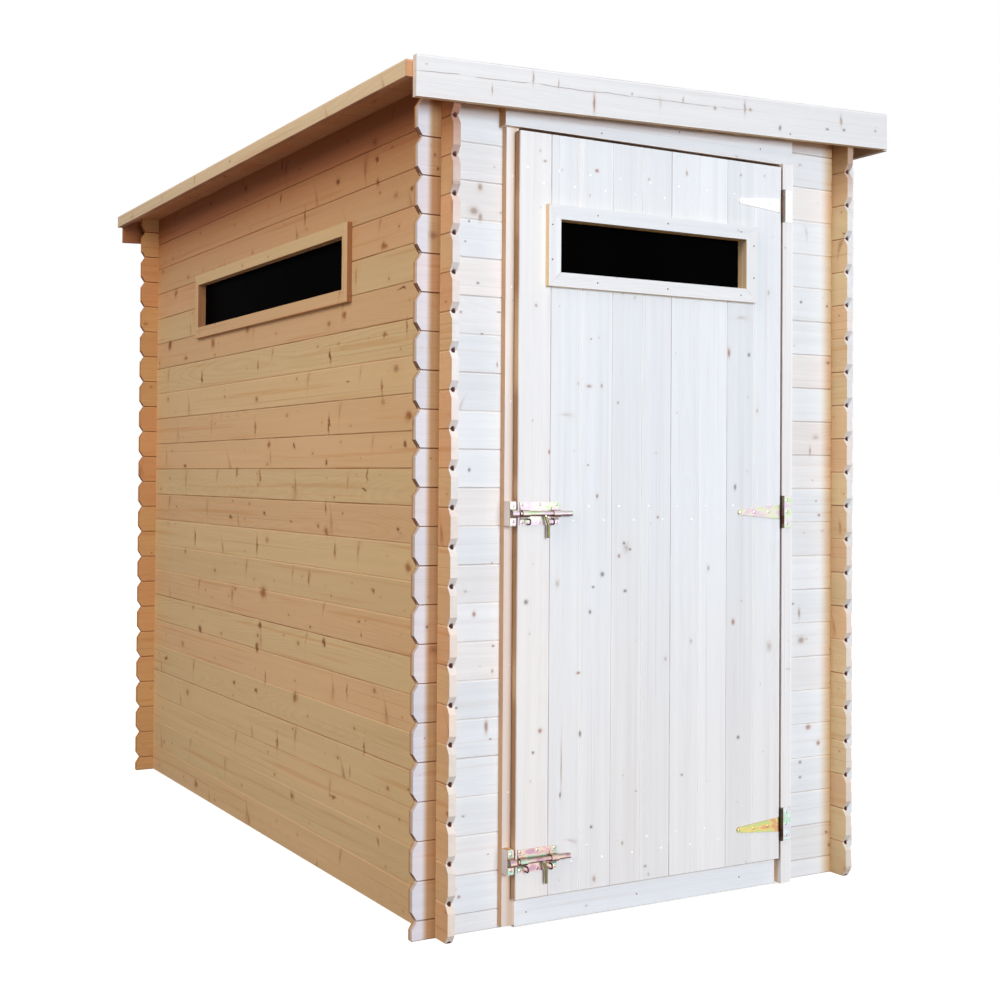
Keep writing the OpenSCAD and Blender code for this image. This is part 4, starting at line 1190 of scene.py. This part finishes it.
def floor_material():
    """White to the eye but for a soft shadow, and greyer to the light that it throws back."""
    material, tree = empty_material("studio_floor")
    path = put(tree, "LightPath")
    seen = larger(path["Is Camera Ray"], path["Is Glossy Ray"])
    away = length(put(tree, "TexCoord")["Object"])
    strength = smooth(away, FLOOR_NEAR, FLOOR_FAR, GLOW_NEAR, 1.0)
    shown = put(tree, "BsdfDiffuse", {"Color": (0.9, 0.9, 0.9, 1)})[0]
    glow = put(tree, "Emission", {"Color": (1, 1, 1, 1), "Strength": strength})[0]
    bright = put(tree, "AddShader", {0: shown, 1: glow})[0]
    dull = put(tree, "BsdfDiffuse", {"Color": (0.22, 0.19, 0.16, 1)})[0]
    put(tree, "OutputMaterial", {0: put(tree, "MixShader", {0: seen, 1: dull, 2: bright})[0]})
    return material


bpy.ops.mesh.primitive_plane_add(size=80, location=(0, 0, -0.001))
studio_floor = bpy.context.object
studio_floor.name = "studio_floor"
studio_floor.data.materials.append(floor_material())
print("floor laid")

# %% Lamps and surround


def lamp(name, place, aim, size, power, colour):
    """A square soft lamp that points at a spot."""
    bpy.ops.object.light_add(type="AREA", location=place)
    light = bpy.context.object
    light.name = name
    light.data.size = size
    light.data.energy = power
    light.data.color = colour
    light.rotation_euler = (Vector(aim) - Vector(place)).to_track_quat("-Z", "Y").to_euler()


lamp("key", (-0.4, -10.8, 2.8), (0.0, -1.0, 1.0), 4.4, 850, (0.92, 0.97, 1.0))
lamp("back_fill", (5.5, 6.5, 3.6), (0.3, 0.6, 0.9), 4.0, 130, (1.0, 0.93, 0.84))
lamp("side_fill", (-6.4, -2.4, 4.4), (-0.6, -0.2, 0.9), 4.0, 300, (1.0, 0.84, 0.66))

world = bpy.data.worlds.new("surround")
bpy.context.scene.world = world
world.use_nodes = True
sky = world.node_tree
sky.nodes.clear()
path = put(sky, "LightPath")
seen = larger(larger(path["Is Camera Ray"], path["Is Glossy Ray"]), path["Is Transmission Ray"])
white = put(sky, "Background", {0: (1, 1, 1, 1), 1: 1.0})[0]
glow = put(sky, "Background", {0: (1.0, 0.88, 0.74, 1), 1: 0.16})[0]
put(sky, "OutputWorld", {0: put(sky, "MixShader", {0: seen, 1: glow, 2: white})[0]})

# %% [markdown]
# ## Camera
#
# The eye stands in front of the left corner, just over a metre from the ground and about level, so
# upright edges stay upright. A small lens shift places the shed in the frame.

# %% Camera
EYE = (-2.1867, -4.0696, 1.0615)
TURN = math.radians(29.307)
TILT = math.radians(0.997)
ROLL = math.radians(0.412)
FOCAL = 1.45433
SENSOR = 36.0
SHIFT = (0.0262, -0.0488)

bpy.ops.object.camera_add(location=EYE)
camera = bpy.context.object
camera.data.sensor_width = SENSOR
camera.data.lens = FOCAL * SENSOR
camera.data.shift_x = SHIFT[0]
camera.data.shift_y = SHIFT[1]
turned = Euler((math.radians(90) + TILT, 0.0, -TURN)).to_matrix() @ Matrix.Rotation(ROLL, 3, "Z")
camera.rotation_euler = turned.to_euler()
bpy.context.scene.camera = camera
bpy.context.scene.view_settings.view_transform = "Standard"
print("lens:", round(camera.data.lens, 1), "mm")
